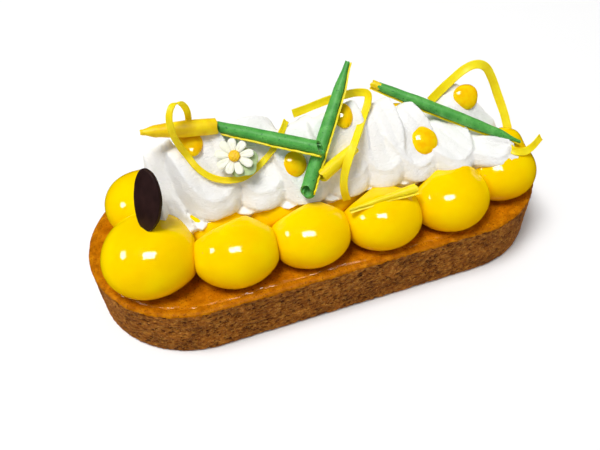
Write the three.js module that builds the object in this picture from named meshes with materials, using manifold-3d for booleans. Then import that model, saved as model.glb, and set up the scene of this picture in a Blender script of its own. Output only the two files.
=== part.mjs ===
// Limoncello pastry slice: an oblong shortcrust tart under a sheet of glaze, with three rows of
// piped lemon domes, one run of folded whipped cream, and chocolate and sugar decorations on top.
// Millimetres, +Z up. The origin is the centre of the flat base, +X runs along the slice and
// the side with the open row of domes faces -Y.

import * as THREE from 'three';
import { mergeVertices } from 'three/addons/utils/BufferGeometryUtils.js';
import Module from 'manifold-3d';

const wasm = await Module();
wasm.setup();

const { Vector3 } = THREE;
const { sin, cos, asin, PI, abs, min, max, exp, floor, round, hypot } = Math;

// Driving dimensions of the pastry case
const CASE_LENGTH = 230.6;
const CASE_WIDTH = 97.5;
const CASE_HEIGHT = 28;
const RIM_WIDTH = 10;
const GLAZE_DROP = 1.0;
const GLAZE_THICK = 2.4;
const CRUST_RELIEF = 0.45;
const WALL_ROWS = 4;
const WALL_FOOT = 0.8;
const WALL_SHOULDER = 1.4;
const GAP = 0.3;

// A dome's centre height, rise and foot, as shares of its radius
const DOME_CENTRE = 0.54;
const DOME_RISE = 0.82;
const DOME_FOOT = 0.72;

// Driving dimensions of the whipped cream
const CREAM_BASE = 42.5;
const FOLD_COUNT = 8;
const FOLD_FIRST_X = -47.7;
const FOLD_PITCH = 19.1;
const FOLD_FRONT_Y = -16.5;
const FOLD_WIDTH = 25;
const FOLD_LENGTH = 41;
const FOLD_LIP = 60;
const FOLD_CREST = 81;
const FOLD_BACK = 52;
const FOLD_EDGE = 3;
const FOLD_FALL = 4;
const FOLD_DISH = 1.8;
const FOLD_CREASE = 3.4;
const FOLD_LEAN = 3.5;
const FOLD_SLANTS = [24, 14, 10.5, 9, 8, 15, 27, 40];

// Driving dimensions of the decorations
const ROLL_RADIUS = 3.1;
const ROLL_SHEET = 0.9;
const ROLL_SLIT = 0.2;
const RIBBON_WIDTH = 3.6;
const RIBBON_THICK = 0.9;
const PLAQUE_HEIGHT = 27.3;
const PLAQUE_WIDTH = 13.8;
const PLAQUE_THICK = 1.7;
const PLAQUE_BOW = 0.05;
const DROP_RISE = 2.4;
const DROP_PROUD = 0.5;
const DAISY_RADIUS = 7.4;
const PETAL_COUNT = 9;
const PETAL_WIDE = 3.3;
const PETAL_THICK = 0.55;
const PETAL_LEVEL = 1.7;
const PETAL_LIFT = 0.25;
const EYE_RADIUS = 2.6;
const EYE_RISE = 1.4;
const SEPAL_RADIUS = 5.6;
const SEPAL_THICK = 0.9;
const SEPAL_WAVE = 0.35;

// Derived levels
const END_RADIUS = CASE_WIDTH / 2;
const STRAIGHT = CASE_LENGTH / 2 - END_RADIUS;
const GLAZE_TOP = CASE_HEIGHT - GLAZE_DROP;
const GLAZE_FLOOR = GLAZE_TOP - GLAZE_THICK;
const DOME_FLOOR = GLAZE_TOP + GAP;

const root = new THREE.Group();

// Materials
const finish = (colour, roughness) =>
  new THREE.MeshStandardMaterial({ color: colour, roughness, metalness: 0 });
const CRUST = finish('#8a5a2c', 0.85);
const GLAZE = finish('#b9691a', 0.15);
const LEMON = finish('#f7cf08', 0.12);
const CREAM = finish('#f8f5ee', 0.7);
const GEL = finish('#f3b416', 0.1);
const GREEN_CHOCOLATE = finish('#4ea04d', 0.55);
const YELLOW_CHOCOLATE = finish('#f2d911', 0.45);
const DARK_CHOCOLATE = finish('#2f1d1c', 0.4);
const PETAL = finish('#f7f5e2', 0.6);
const SEPAL = finish('#b9cf98', 0.6);

// A repeatable unevenness between -1 and 1 from two whole numbers
function uneven(i, j) {
  const wave = sin(i * 12.9898 + j * 78.233) * 43758.5453;
  return 2 * (wave - floor(wave)) - 1;
}

// A smooth step from 0 to 1
function ease(t) {
  const s = min(max(t, 0), 1);
  return s * s * (3 - 2 * s);
}

// Merges shared vertices and drops the triangles that this leaves without area
function clean(geometry) {
  geometry.deleteAttribute('normal');
  geometry.deleteAttribute('uv');
  const merged = mergeVertices(geometry, 1e-4);
  const source = merged.index.array;
  const kept = [];
  for (let i = 0; i < source.length; i += 3) {
    const [a, b, c] = [source[i], source[i + 1], source[i + 2]];
    if (a !== b && b !== c && a !== c) kept.push(a, b, c);
  }
  merged.setIndex(kept);
  return merged;
}

function fromPoints(points, index) {
  const geometry = new THREE.BufferGeometry();
  const positions = points.flatMap((p) => [p.x, p.y, p.z]);
  geometry.setAttribute('position', new THREE.Float32BufferAttribute(positions, 3));
  geometry.setIndex(index);
  return clean(geometry);
}

// The walls between rings of equal count, each ring running counterclockwise about its axis
function walls(ringCount, count) {
  const index = [];
  for (let r = 0; r + 1 < ringCount; r += 1) {
    for (let c = 0; c < count; c += 1) {
      const next = (c + 1) % count;
      const [a, b] = [r * count + c, r * count + next];
      index.push(a, b, b + count, a, b + count, a + count);
    }
  }
  return index;
}

// A closed skin whose first and last ring have already shrunk to a point or a line
function skin(rings) {
  return fromPoints(rings.flat(), walls(rings.length, rings[0].length));
}

// A loft of one flat section along a list of frames, with its two ends capped
function loft(section, frames) {
  const rings = frames.map(({ at, across, up, scale }) => section.map((p) => (
    at.clone().addScaledVector(across, p.x * scale).addScaledVector(up, p.y * scale))));
  const count = section.length;
  const last = (rings.length - 1) * count;
  const caps = THREE.ShapeUtils.triangulateShape(section, []);
  const index = walls(rings.length, count);
  for (const [a, b, c] of caps) {
    index.push(c, b, a, last + a, last + b, last + c);
  }
  return fromPoints(rings.flat(), index);
}

function toSolid(geometry) {
  const vertProperties = new Float32Array(geometry.attributes.position.array);
  const triVerts = new Uint32Array(geometry.index.array);
  return new wasm.Manifold(new wasm.Mesh({ numProp: 3, vertProperties, triVerts }));
}

function toGeometry(solid) {
  const mesh = solid.getMesh();
  const geometry = new THREE.BufferGeometry();
  geometry.setAttribute('position', new THREE.Float32BufferAttribute(mesh.vertProperties, 3));
  geometry.setIndex(Array.from(mesh.triVerts));
  return geometry;
}

// The largest of the bodies that cutting may leave
function mainBody(solid) {
  const bodies = solid.decompose();
  return bodies.reduce((best, body) => (body.volume() > best.volume() ? body : best));
}

function add(name, geometry, material, parent = root) {
  const mesh = new THREE.Mesh(geometry, material);
  mesh.name = name;
  parent.add(mesh);
  return mesh;
}

// The oblong outline with round ends, moved in by inset; an inset of END_RADIUS is its spine
const OUTLINE_QUARTER = 13;
const OUTLINE_FLAT = 5;

function outline(inset, z, relief = () => 0) {
  const points = [];
  const quarters = [[1, -1], [1, 1], [-1, 1], [-1, -1]];
  quarters.forEach(([sx, sy], quarter) => {
    for (let k = 0; k < OUTLINE_QUARTER; k += 1) {
      const step = quarter % 2 === 0 ? k : OUTLINE_QUARTER - k;
      const turn = max(0, step - OUTLINE_FLAT) / (OUTLINE_QUARTER - OUTLINE_FLAT);
      const angle = turn * (PI / 2);
      const radius = max(0, END_RADIUS - inset - relief(quarter * OUTLINE_QUARTER + k));
      const run = (STRAIGHT * min(step, OUTLINE_FLAT)) / OUTLINE_FLAT;
      points.push(new Vector3(sx * (run + radius * sin(angle)), sy * radius * cos(angle), z));
    }
  });
  return points;
}

// The pastry case: solid, with a baked uneven wall, a rounded rim and a shallow bed for the glaze.
// Grown by a clearance it is the tool that trims what rests on the rim.
function pastryCase(grow = 0) {
  const step = (CASE_HEIGHT - WALL_SHOULDER - WALL_FOOT) / (WALL_ROWS - 1);
  const wall = Array.from({ length: WALL_ROWS }, (_, row) => WALL_FOOT + step * row);
  const crags = (row) => (i) => (grow === 0 ? CRUST_RELIEF * abs(uneven(i, row)) : 0);
  const bed = grow === 0 ? GLAZE_FLOOR : GLAZE_TOP;
  return skin([
    outline(END_RADIUS, 0),
    outline(1.2, 0),
    ...wall.map((z, row) => outline(0.05, z, crags(row))),
    outline(0.9, CASE_HEIGHT - 0.35 + grow),
    outline(2.4, CASE_HEIGHT + grow),
    outline(RIM_WIDTH - 2.6, CASE_HEIGHT + grow),
    outline(RIM_WIDTH - 0.8 + grow, CASE_HEIGHT - 0.3 + grow),
    outline(RIM_WIDTH + grow, bed),
    outline(END_RADIUS, bed),
  ]);
}

function glazeSheet() {
  const edge = RIM_WIDTH + GAP;
  return skin([
    outline(END_RADIUS, GLAZE_FLOOR + GAP),
    outline(edge, GLAZE_FLOOR + GAP),
    outline(edge, GLAZE_TOP),
    outline(END_RADIUS, GLAZE_TOP),
  ]);
}

// The lemon domes: a front row of large ones, a middle row under the cream and a back row
const FRONT_DOMES = [
  { x: -87.8, y: -17.8, radius: 20.6 },
  { x: -49.8, y: -27.2, radius: 18.4 },
  { x: -15, y: -28.8, radius: 17.2 },
  { x: 20.5, y: -30.5, radius: 17.2 },
  { x: 56, y: -30.6, radius: 17.7 },
  { x: 89, y: -20.5, radius: 17.6, peak: { rise: 6, dx: 6, dy: 6 } },
];
const MIDDLE_DOMES = [-55, -22.5, 8, 38, 66].map((x, i) => (
  { x, y: 0.5 + uneven(i, 3), radius: 15.4 + 0.4 * uneven(i, 5), hidden: true }));
const BACK_DOMES = [
  { x: -84.5, y: 19.5, radius: 18 },
  { x: -48.5, y: 27.5, radius: 17.2, hidden: true },
  { x: -14, y: 28.5, radius: 16.8, hidden: true },
  { x: 20.5, y: 28, radius: 16.8, hidden: true },
  { x: 54.5, y: 27, radius: 16.6, hidden: true },
  { x: 86.5, y: 16, radius: 17, hidden: true },
];
const DOMES = [...FRONT_DOMES, ...MIDDLE_DOMES, ...BACK_DOMES];

// Soft domes that touch lie flat against each other along the plane between them
function settle(point, dome, grow) {
  for (const other of DOMES) {
    const [dx, dy] = [other.x - dome.x, other.y - dome.y];
    const apart = hypot(dx, dy);
    if (other === dome || apart > dome.radius + other.radius + 2) continue;
    const middle = (apart ** 2 + dome.radius ** 2 - other.radius ** 2) / (2 * apart);
    const plane = middle - GAP / 2 + grow;
    const reach = ((point.x - dome.x) * dx + (point.y - dome.y) * dy) / apart;
    const back = max(0, reach - plane) / apart;
    point.x -= back * dx;
    point.y -= back * dy;
  }
  return point;
}

// A dome from its pressed foot over its widest part to its top, which may be drawn into a peak
function domeGeometry(dome, grow = 0) {
  const [around, up] = dome.hidden ? [12, 5] : [20, 7];
  const centre = DOME_FLOOR + DOME_CENTRE * dome.radius;
  const floor = DOME_FLOOR - grow;
  const lowest = -asin(DOME_CENTRE / DOME_RISE);
  const peak = dome.peak ?? { rise: 0, dx: 0, dy: 0 };
  const ring = (share, z) => Array.from({ length: around }, (_, i) => {
    const angle = (2 * PI * i) / around;
    const [dx, dy] = [cos(angle), sin(angle)].map((c) => c * share * (dome.radius + grow));
    const near = hypot(dx - peak.dx, dy - peak.dy) / (0.4 * dome.radius);
    const lift = z > centre ? peak.rise * exp(-near * near) : 0;
    return settle(new Vector3(dome.x + dx, dome.y + dy, z + lift), dome, grow);
  });
  const rings = [ring(0, floor), ring(DOME_FOOT * cos(lowest), floor)];
  for (let k = 1; k <= up; k += 1) {
    const tilt = lowest + ((PI / 2 - lowest) * k) / up;
    const share = k === up ? 0 : cos(tilt);
    rings.push(ring(share, centre + (DOME_RISE * dome.radius + grow) * sin(tilt)));
  }
  return skin(rings);
}

// The whipped cream: folds laid side by side. Each is a tongue with a dished top that rises to a
// sharp crest near its right side, a round front face, and a thin second lip under its left.
const FOLDS = Array.from({ length: FOLD_COUNT }, (_, i) => ({
  x: FOLD_FIRST_X + FOLD_PITCH * i + 0.8 * uneven(i, 1),
  y: FOLD_FRONT_Y - 0.7 * i + 0.6 * uneven(i, 2),
  slant: FOLD_SLANTS[i],
  length: FOLD_LENGTH - 6 * ease((i - 4) / 3),
  width: FOLD_WIDTH,
  lip: FOLD_LIP + 0.8 * uneven(i, 4),
  crest: FOLD_CREST - 21 * ease((i - 4) / 3) + uneven(i, 6),
  ridge: 0.8,
}));
// The first fold is broad, with its crest in the middle. The run begins with a torn end and a low
// turn that props the plaque, and closes with a turn at the back and a tail over the last dome.
Object.assign(FOLDS[0], { x: -54, y: -13, width: 33, ridge: -0.05, crest: 82 });
FOLDS.push(
  { x: -77.6, y: -13.6, slant: 8, length: 22, width: 11, lip: 58, crest: 65, ridge: 0.3 },
  { x: -67, y: -13, slant: 30, length: 26, width: 15, lip: 51, crest: 60, ridge: 0.3, torn: 1.6 },
  { x: 93, y: -5, slant: 48, length: 43, width: 27, lip: 56, crest: 75, ridge: 0.6 },
  { x: 89, y: -23, slant: 62, length: 32, width: 17, lip: 52, crest: 58, ridge: 0.4, torn: 0.8 },
);

const FOLD_SUMMIT = 0.58;

// Height of a fold's top: u runs across it with the crest at right, v from its front to its back
function foldTop(fold, u, v) {
  const way = v / fold.length;
  const climb = min(way / FOLD_SUMMIT, 1);
  const descent = max(0, way - FOLD_SUMMIT) / (1 - FOLD_SUMMIT);
  const spine = fold.lip + (fold.crest - fold.lip) * (0.5 * climb + 0.5 * sin((PI / 2) * climb));
  const drop = max(0, fold.crest - FOLD_BACK) * (1 - cos((PI / 2) * descent));
  const half = fold.width / 2;
  const ridge = fold.ridge * half;
  const left = max(0, ridge - u) / (ridge + half);
  const right = max(0, u - ridge) / (half - ridge);
  return spine - drop - FOLD_FALL * (left + right) - FOLD_DISH * sin(PI * min(left, 1));
}

const FOLD_AROUND = 16;

// One fold as rings from the middle of its underside, up its wall and in over its top
function foldGeometry(fold) {
  const half = fold.width / 2;
  const slant = (fold.slant * PI) / 180;
  const ring = (share, height) => Array.from({ length: FOLD_AROUND }, (_, i) => {
    const angle = (2 * PI * (i + 0.5)) / FOLD_AROUND - PI / 2;
    const ragged = 1 + (share > 0.9 ? ((fold.torn ?? 0) * uneven(i, 9)) / half : 0);
    const reach = half * share * ragged;
    const u = reach * cos(angle);
    const middle = sin(angle) < 0 ? half : fold.length - half;
    const v = middle + reach * sin(angle);
    const z = height(u, v, angle);
    const lean = z < CREAM_BASE + 5 ? -FOLD_LEAN : 0;
    return new Vector3(
      fold.x + (u + lean) * cos(slant) - v * sin(slant),
      fold.y + u * sin(slant) + v * cos(slant),
      z,
    );
  });
  const top = (sunk) => (u, v) => max(CREAM_BASE + 6, foldTop(fold, u, v) - sunk);
  const crease = (angle) => CREAM_BASE + 1 + FOLD_CREASE * max(0, cos(angle + (3 * PI) / 4));
  const wall = (share) => (u, v, angle) => (
    (1 - share) * crease(angle) + share * top(FOLD_EDGE)(u, v));
  return skin([
    ring(0, () => CREAM_BASE),
    ring(0.9, () => CREAM_BASE),
    ring(1.0, (u, v, angle) => (CREAM_BASE + crease(angle)) / 2),
    ring(0.92, wall(0)),
    ring(1.07, wall(0.5)),
    ring(1.0, top(FOLD_EDGE)),
    ring(0.88, top(0.6)),
    ring(0.6, top(0)),
    ring(0.25, top(0)),
    ring(0, top(0)),
  ]);
}

const folds = FOLDS.map((fold) => toSolid(foldGeometry(fold))).reduce((all, one) => all.add(one));
const foldMesh = new THREE.Mesh(toGeometry(folds));
const plumb = new THREE.Raycaster();

// Height of the cream at a place on the plan
function creamTop(x, y) {
  plumb.set(new Vector3(x, y, 2 * FOLD_CREST), new Vector3(0, 0, -1));
  const [hit] = plumb.intersectObject(foldMesh);
  return hit ? hit.point.z : CREAM_BASE;
}

// Gel drops: soft round drops half sunk in the cream, each facing the way the cream slopes
const DROPS = [
  { x: -57.3, y: 2.4, wide: 4.8, long: 5.8 },
  { x: -14.3, y: -11.2, wide: 5, long: 5.6 },
  { x: 14.2, y: 6.4, wide: 4, long: 6 },
  { x: 48.7, y: -13.6, wide: 5.4, long: 6.2 },
  { x: 79.2, y: 5.4, wide: 4.8, long: 6 },
];

// The direction that the cream faces near a place, over the width of a small piece
function creamFacing(x, y, span = 3) {
  const slopeX = (creamTop(x + span, y) - creamTop(x - span, y)) / (2 * span);
  const slopeY = (creamTop(x, y + span) - creamTop(x, y - span)) / (2 * span);
  return new Vector3(-slopeX, -slopeY, 1).normalize();
}

function dropGeometry(drop, grow = 0) {
  const facing = creamFacing(drop.x, drop.y);
  const turn = new THREE.Quaternion().setFromUnitVectors(new Vector3(0, 0, 1), facing);
  const ball = new THREE.SphereGeometry(1, 12, 6);
  ball.rotateX(PI / 2);
  ball.scale(drop.wide + grow, drop.long + grow, DROP_RISE + grow);
  ball.applyQuaternion(turn);
  ball.translate(drop.x, drop.y, creamTop(drop.x, drop.y) + DROP_PROUD);
  return clean(ball);
}

// Chocolate rolls: a thin sheet rolled up on itself, thinner towards one end, lying on the cream
const ROLL_TURNS = 1.5;
const ROLL_STEPS = 13;

function rollSection() {
  const path = (offset) => Array.from({ length: ROLL_STEPS + 1 }, (_, i) => {
    const turn = (2 * PI * ROLL_TURNS * i) / ROLL_STEPS;
    const pitch = (ROLL_SHEET + ROLL_SLIT) / (2 * PI);
    const r = (ROLL_RADIUS - offset - pitch * turn) / ROLL_RADIUS;
    return new THREE.Vector2(r * cos(turn), r * sin(turn));
  });
  return [...path(0), ...path(ROLL_SHEET).reverse()];
}

const ROLLS = [
  {
    name: 'yellow_roll', material: YELLOW_CHOCOLATE, spin: 2,
    from: [-76.4, 7.4, 86.9], to: [-44.8, 8.8, 80.1], radii: [2.1, 3.5, 3.9, 3.9, 3.8],
  },
  {
    name: 'green_roll_1', material: GREEN_CHOCOLATE, spin: 0.8,
    from: [-42.2, 9, 78.5], to: [-2.5, -14.9, 72.9], radii: [1.8, 2.5, 3.0, 3.3],
  },
  {
    name: 'green_roll_2', material: GREEN_CHOCOLATE, spin: 2.6,
    from: [-14.8, -23, 55.6], to: [19.3, 13, 95.3], radii: [3.1, 3.1, 2.6, 1.3],
  },
  {
    name: 'green_roll_3', material: GREEN_CHOCOLATE, spin: 1.4,
    from: [33.2, 16.1, 78.3], to: [94.8, -23, 54.5], radii: [2.6, 2.9, 2.8, 2.3, 1.1],
  },
  {
    name: 'yellow_curl_1', material: YELLOW_CHOCOLATE, spin: 2.2,
    from: [-4.2, -18.4, 62.4], to: [13, -11.8, 67], radii: [2.9, 2.8, 2.0],
  },
  {
    name: 'yellow_curl_2', material: YELLOW_CHOCOLATE, spin: 3.4,
    from: [3.2, -32.2, 49.2], to: [35.4, -32.2, 52], radii: [1.0, 1.7, 2.7],
  },
];

function rollFrames(roll, grow = 0) {
  const from = new Vector3(...roll.from);
  const axis = new Vector3(...roll.to).sub(from);
  const along = axis.clone().normalize();
  const side = new Vector3().crossVectors(new Vector3(0, 0, 1), along).normalize();
  const up = new Vector3().crossVectors(along, side);
  const across = side.clone().applyAxisAngle(along, roll.spin);
  const above = up.clone().applyAxisAngle(along, roll.spin);
  const steps = roll.radii.length - 1;
  return roll.radii.map((radius, i) => {
    const past = i === 0 ? -grow : (i === steps ? grow : 0);
    return {
      at: from.clone().addScaledVector(axis, i / steps).addScaledVector(along, past),
      across,
      up: above,
      scale: radius + grow,
    };
  });
}

// A plain rod round a roll or a band round a ribbon cuts their bed in what they lie on
function disc(sides) {
  const reach = 1 / cos(PI / sides);
  return Array.from({ length: sides }, (_, i) => {
    const angle = (2 * PI * i) / sides;
    return new THREE.Vector2(reach * cos(angle), reach * sin(angle));
  });
}

// Ribbons: flat bands that stand in arches or lie over the cream, turning evenly from the first
// side direction to the last
const RIBBONS = [
  {
    name: 'ribbon_1',
    sides: [[1, 0.3, 0.1], [1, -0.35, 0.2], [0.75, 0.5, 0.5], [0.5, 0.5, 0.7], [0.2, 0.9, 0.5]],
    path: [
      [-57.5, 14, 75.5], [-56.2, 13.2, 84], [-56.3, 12.2, 90.3], [-58.6, 9, 96.3], [-62.3, 6, 97.8],
      [-64.8, 3, 94], [-64.8, 0.8, 87], [-62.4, -0.5, 79.6], [-59.6, -2.4, 73.9],
      [-56.2, -5.8, 71.6], [-51, -9.6, 67.4], [-44.2, -11.6, 63.9], [-36, -12, 66.2],
      [-29.5, -9.8, 68.6], [-22.5, -4, 70.8], [-16.5, 3, 74.6], [-12, 8.6, 76.4],
    ],
  },
  {
    name: 'ribbon_2',
    sides: [[0.1, 0.5, 0.86], [0.1, 0.4, 0.9], [0.9, -0.3, 0.3], [0.95, -0.2, 0.1]],
    path: [
      [-8.5, 10.2, 76.4], [-2, 10.7, 77], [4.8, 11.1, 78], [11.2, 11.5, 78.6], [16.9, 10.7, 79.6],
      [22.4, 9.1, 80.7], [26.2, 6.2, 81], [25.4, 3.1, 78.6], [21, -1.9, 74], [12.5, -13.9, 73],
      [7, -19, 66.3], [4.5, -20.6, 58], [4.5, -21, 50.4], [6.2, -20.4, 43.7],
    ],
  },
  {
    name: 'ribbon_3',
    sides: [[0.5, 0.6, -0.6], [0.2, 0.9, -0.3], [0.8, 0.5, 0.2], [0.95, 0.25, 0.2]],
    path: [
      [61.5, 8.5, 66.2], [65, 8.4, 69.9], [70, 7.7, 75.4], [75.6, 6.6, 81.2], [82.3, 7, 82.7],
      [88, 6.6, 80.4], [91.9, 5, 74.2], [94.6, 1, 66.1], [95.9, -5.5, 58.9], [96.2, -10.6, 53],
    ],
  },
  {
    name: 'ribbon_4',
    sides: [[0.1, 0.75, 0.65], [-0.1, 0.7, 0.7], [-0.35, 0.5, 0.8]],
    path: [
      [88.9, -22.2, 52.8], [91.1, -25.5, 52], [95.8, -26.6, 51.1], [101.2, -25.2, 51.6],
      [108.1, -21.4, 52.6],
    ],
  },
];

const RIBBON_STEP = 5.5;

function ribbonFrames(ribbon) {
  const points = ribbon.path.map((p) => new Vector3(...p));
  const curve = new THREE.CatmullRomCurve3(points, false, 'centripetal');
  const steps = round(curve.getLength() / RIBBON_STEP);
  const turns = ribbon.sides.map((side) => new Vector3(...side));
  return Array.from({ length: steps + 1 }, (_, i) => {
    const t = i / steps;
    const k = min(floor(t * (turns.length - 1)), turns.length - 2);
    const blend = ease(t * (turns.length - 1) - k);
    const along = curve.getTangentAt(t);
    const side = turns[k].clone().lerp(turns[k + 1], blend);
    const across = side.addScaledVector(along, -side.dot(along)).normalize();
    const up = new Vector3().crossVectors(along, across);
    return { at: curve.getPointAt(t), across, up, scale: 1 };
  });
}

function bandSection(grow = 0) {
  const [w, h] = [RIBBON_WIDTH / 2 + grow, RIBBON_THICK / 2 + grow];
  return [[-w, -h], [w, -h], [w, h], [-w, h]].map(([x, y]) => new THREE.Vector2(x, y));
}

function ribbonGeometry(ribbon, grow = 0) {
  const frames = ribbonFrames(ribbon);
  if (grow > 0) {
    const [first, last] = [frames[0], frames[frames.length - 1]];
    const out = (frame, next) => frame.at.clone().sub(next.at).normalize().multiplyScalar(grow);
    const [start, end] = [out(first, frames[1]), out(last, frames[frames.length - 2])];
    first.at.add(start);
    last.at.add(end);
  }
  return loft(bandSection(grow), frames);
}

// Places a piece modelled flat on XY so that its X and Z run along two given directions
function stand(geometry, at, xDirection, zDirection) {
  const z = new Vector3(...zDirection).normalize();
  const x = new Vector3(...xDirection);
  x.addScaledVector(z, -x.dot(z)).normalize();
  const frame = new THREE.Matrix4().makeBasis(x, new Vector3().crossVectors(z, x), z);
  frame.setPosition(new Vector3(...at));
  return clean(geometry.applyMatrix4(frame));
}

// The oval plaque of dark chocolate: bare, slightly bowed, leaning on the start of the cream
const PLAQUE = {
  at: [-81.6, -11.6, 66.5],
  across: [0.6, -0.78, 0.195],
  facing: [-0.766, -0.482, 0.433],
};
const PLAQUE_SIDES = 24;

function plaqueGeometry(grow = 0) {
  const ring = (share, z) => Array.from({ length: PLAQUE_SIDES }, (_, i) => {
    const angle = (2 * PI * i) / PLAQUE_SIDES;
    const x = share * (PLAQUE_WIDTH / 2 + grow) * cos(angle);
    const y = share * (PLAQUE_HEIGHT / 2 + grow) * sin(angle);
    return new Vector3(x, y, z - (PLAQUE_BOW * x * x) / 4);
  });
  const half = PLAQUE_THICK / 2 + grow;
  const rings = [ring(0, -half), ring(0.93, -half), ring(1, -half / 2), ring(1, half / 2),
    ring(0.93, half), ring(0, half)];
  return stand(skin(rings), PLAQUE.at, PLAQUE.across, PLAQUE.facing);
}

// The sugar daisy: a ring of petals with a yellow eye, over a pale green sepal
const DAISY = { at: [-40.3, -3.2, 70.9], across: [1, -0.1, 0.1], facing: [-0.12, -0.6, 0.79] };
const SEPAL_SHIFT = [1.8, -1.9];
const EYE_SIDES = 12;
const SEPAL_SIDES = 16;

// Where a layer of the daisy stands: raised from its base, and shifted within its own plane
function daisyPlace(height, shift = [0, 0]) {
  const z = new Vector3(...DAISY.facing).normalize();
  const x = new Vector3(...DAISY.across);
  x.addScaledVector(z, -x.dot(z)).normalize();
  const y = new Vector3().crossVectors(z, x);
  const at = new Vector3(...DAISY.at).addScaledVector(z, height);
  at.addScaledVector(x, shift[0]).addScaledVector(y, shift[1]);
  return [at.toArray(), DAISY.across, DAISY.facing];
}

function petalsGeometry() {
  const inner = EYE_RADIUS / 2;
  const hub = new THREE.CylinderGeometry(EYE_RADIUS, EYE_RADIUS, 1.4 * PETAL_THICK, EYE_SIDES);
  hub.rotateX(PI / 2);
  const petals = Array.from({ length: PETAL_COUNT }, (_, i) => {
    const reach = (DAISY_RADIUS - inner) * (1 + 0.07 * uneven(i, 11));
    const petal = new THREE.SphereGeometry(1, 5, 4).rotateX(PI / 2);
    petal.scale(reach / 2, PETAL_WIDE / 2, PETAL_THICK);
    petal.translate(inner + reach / 2, 0, PETAL_LIFT * (1 + uneven(i, 12)));
    petal.rotateZ((2 * PI * (i + 0.16 * uneven(i, 13))) / PETAL_COUNT);
    return toSolid(clean(petal));
  });
  const whole = petals.reduce((all, one) => all.add(one), toSolid(clean(hub)));
  return stand(toGeometry(whole), ...daisyPlace(PETAL_LEVEL));
}

// The points of a round layer at a share of its radius
function roundRing(sides, radius, height) {
  return Array.from({ length: sides }, (_, i) => {
    const angle = (2 * PI * i) / sides;
    const reach = radius(angle);
    return new Vector3(reach * cos(angle), reach * sin(angle), height(angle));
  });
}

function eyeGeometry() {
  const profile = [[0, 0], [1, 0], [0.9, 0.5], [0.5, 0.9], [0, 1]];
  const rings = profile.map(([share, rise]) => (
    roundRing(EYE_SIDES, () => share * EYE_RADIUS, () => rise * EYE_RISE)));
  const level = PETAL_LEVEL + 2 * PETAL_LIFT + PETAL_THICK + GAP;
  return stand(skin(rings), ...daisyPlace(level));
}

function sepalGeometry(grow = 0) {
  const half = SEPAL_THICK / 2 + grow;
  const profile = [[0, -half], [0.5, -half], [1, -half], [1, half], [0.5, half], [0, half]];
  const rings = profile.map(([share, z]) => roundRing(
    SEPAL_SIDES,
    (angle) => share * (SEPAL_RADIUS + SEPAL_WAVE * sin(4 * angle) + grow),
    (angle) => z + share * SEPAL_WAVE * sin(3 * angle),
  ));
  return stand(skin(rings), ...daisyPlace(0, SEPAL_SHIFT));
}

// Assembly: what lies on something is pressed into it, with a fine gap all round
const rimTool = toSolid(pastryCase(GAP));
const pressed = [
  ...ROLLS.map((roll) => loft(disc(8), rollFrames(roll, GAP))),
  ...RIBBONS.map((ribbon) => ribbonGeometry(ribbon, GAP)),
  ...DROPS.map((drop) => dropGeometry(drop, GAP)),
  plaqueGeometry(GAP),
  sepalGeometry(GAP),
].map(toSolid);

function press(solid) {
  return mainBody(pressed.reduce((all, tool) => all.subtract(tool), solid));
}

add('pastry_case', pastryCase(), CRUST);
add('glaze_sheet', glazeSheet(), GLAZE);

DOMES.forEach((dome, i) => {
  const number = String(i + 1).padStart(2, '0');
  const whole = toSolid(domeGeometry(dome)).subtract(rimTool);
  add(`lemon_dome_${number}`, toGeometry(press(whole)), LEMON);
});

const seated = DOMES.map((dome) => toSolid(domeGeometry(dome, GAP)))
  .reduce((all, tool) => all.subtract(tool), folds);
add('whipped_cream', toGeometry(press(seated)), CREAM);

const bands = RIBBONS.map((ribbon) => toSolid(ribbonGeometry(ribbon, GAP)));
DROPS.forEach((drop, i) => {
  const whole = toSolid(dropGeometry(drop));
  const dented = bands.reduce((all, band) => all.subtract(band), whole);
  add(`gel_drop_${i + 1}`, toGeometry(mainBody(dented)), GEL);
});
ROLLS.forEach((roll) => add(roll.name, loft(rollSection(), rollFrames(roll)), roll.material));
RIBBONS.forEach((ribbon) => add(ribbon.name, ribbonGeometry(ribbon), YELLOW_CHOCOLATE));
add('plaque', plaqueGeometry(), DARK_CHOCOLATE);
add('daisy_sepal', sepalGeometry(), SEPAL);
add('daisy_petals', petalsGeometry(), PETAL);
add('daisy_eye', eyeGeometry(), GEL);

export default root;
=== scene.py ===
"""Looks of a limoncello pastry slice: an oblong shortcrust tart with lemon domes and whipped cream.

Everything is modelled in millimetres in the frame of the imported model, +X along the slice, the open
row of domes facing -Y, and turned to metres when a piece is published.
"""

from __future__ import annotations

import logging
import math
from dataclasses import dataclass, field, replace
from enum import Enum
from functools import cache, cached_property
from typing import Iterable, Sequence

import bmesh
import bpy
from mathutils import Matrix, Vector, noise
from mathutils.bvhtree import BVHTree
from mathutils.geometry import interpolate_bezier


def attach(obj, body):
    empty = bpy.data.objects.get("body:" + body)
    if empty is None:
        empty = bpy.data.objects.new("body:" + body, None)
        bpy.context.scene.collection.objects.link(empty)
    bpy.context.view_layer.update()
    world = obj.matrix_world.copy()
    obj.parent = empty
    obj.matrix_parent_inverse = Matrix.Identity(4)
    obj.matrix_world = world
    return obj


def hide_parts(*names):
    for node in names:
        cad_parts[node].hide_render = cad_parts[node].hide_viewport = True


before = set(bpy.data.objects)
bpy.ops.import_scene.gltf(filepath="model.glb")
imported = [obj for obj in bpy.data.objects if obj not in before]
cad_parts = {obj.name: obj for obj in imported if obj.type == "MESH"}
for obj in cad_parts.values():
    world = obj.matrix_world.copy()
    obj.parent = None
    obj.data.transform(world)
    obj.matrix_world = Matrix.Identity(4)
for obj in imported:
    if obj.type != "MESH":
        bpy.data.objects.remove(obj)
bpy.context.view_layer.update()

LOG = logging.getLogger("pastry")

MM = 0.001
BODY = "root"

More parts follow.
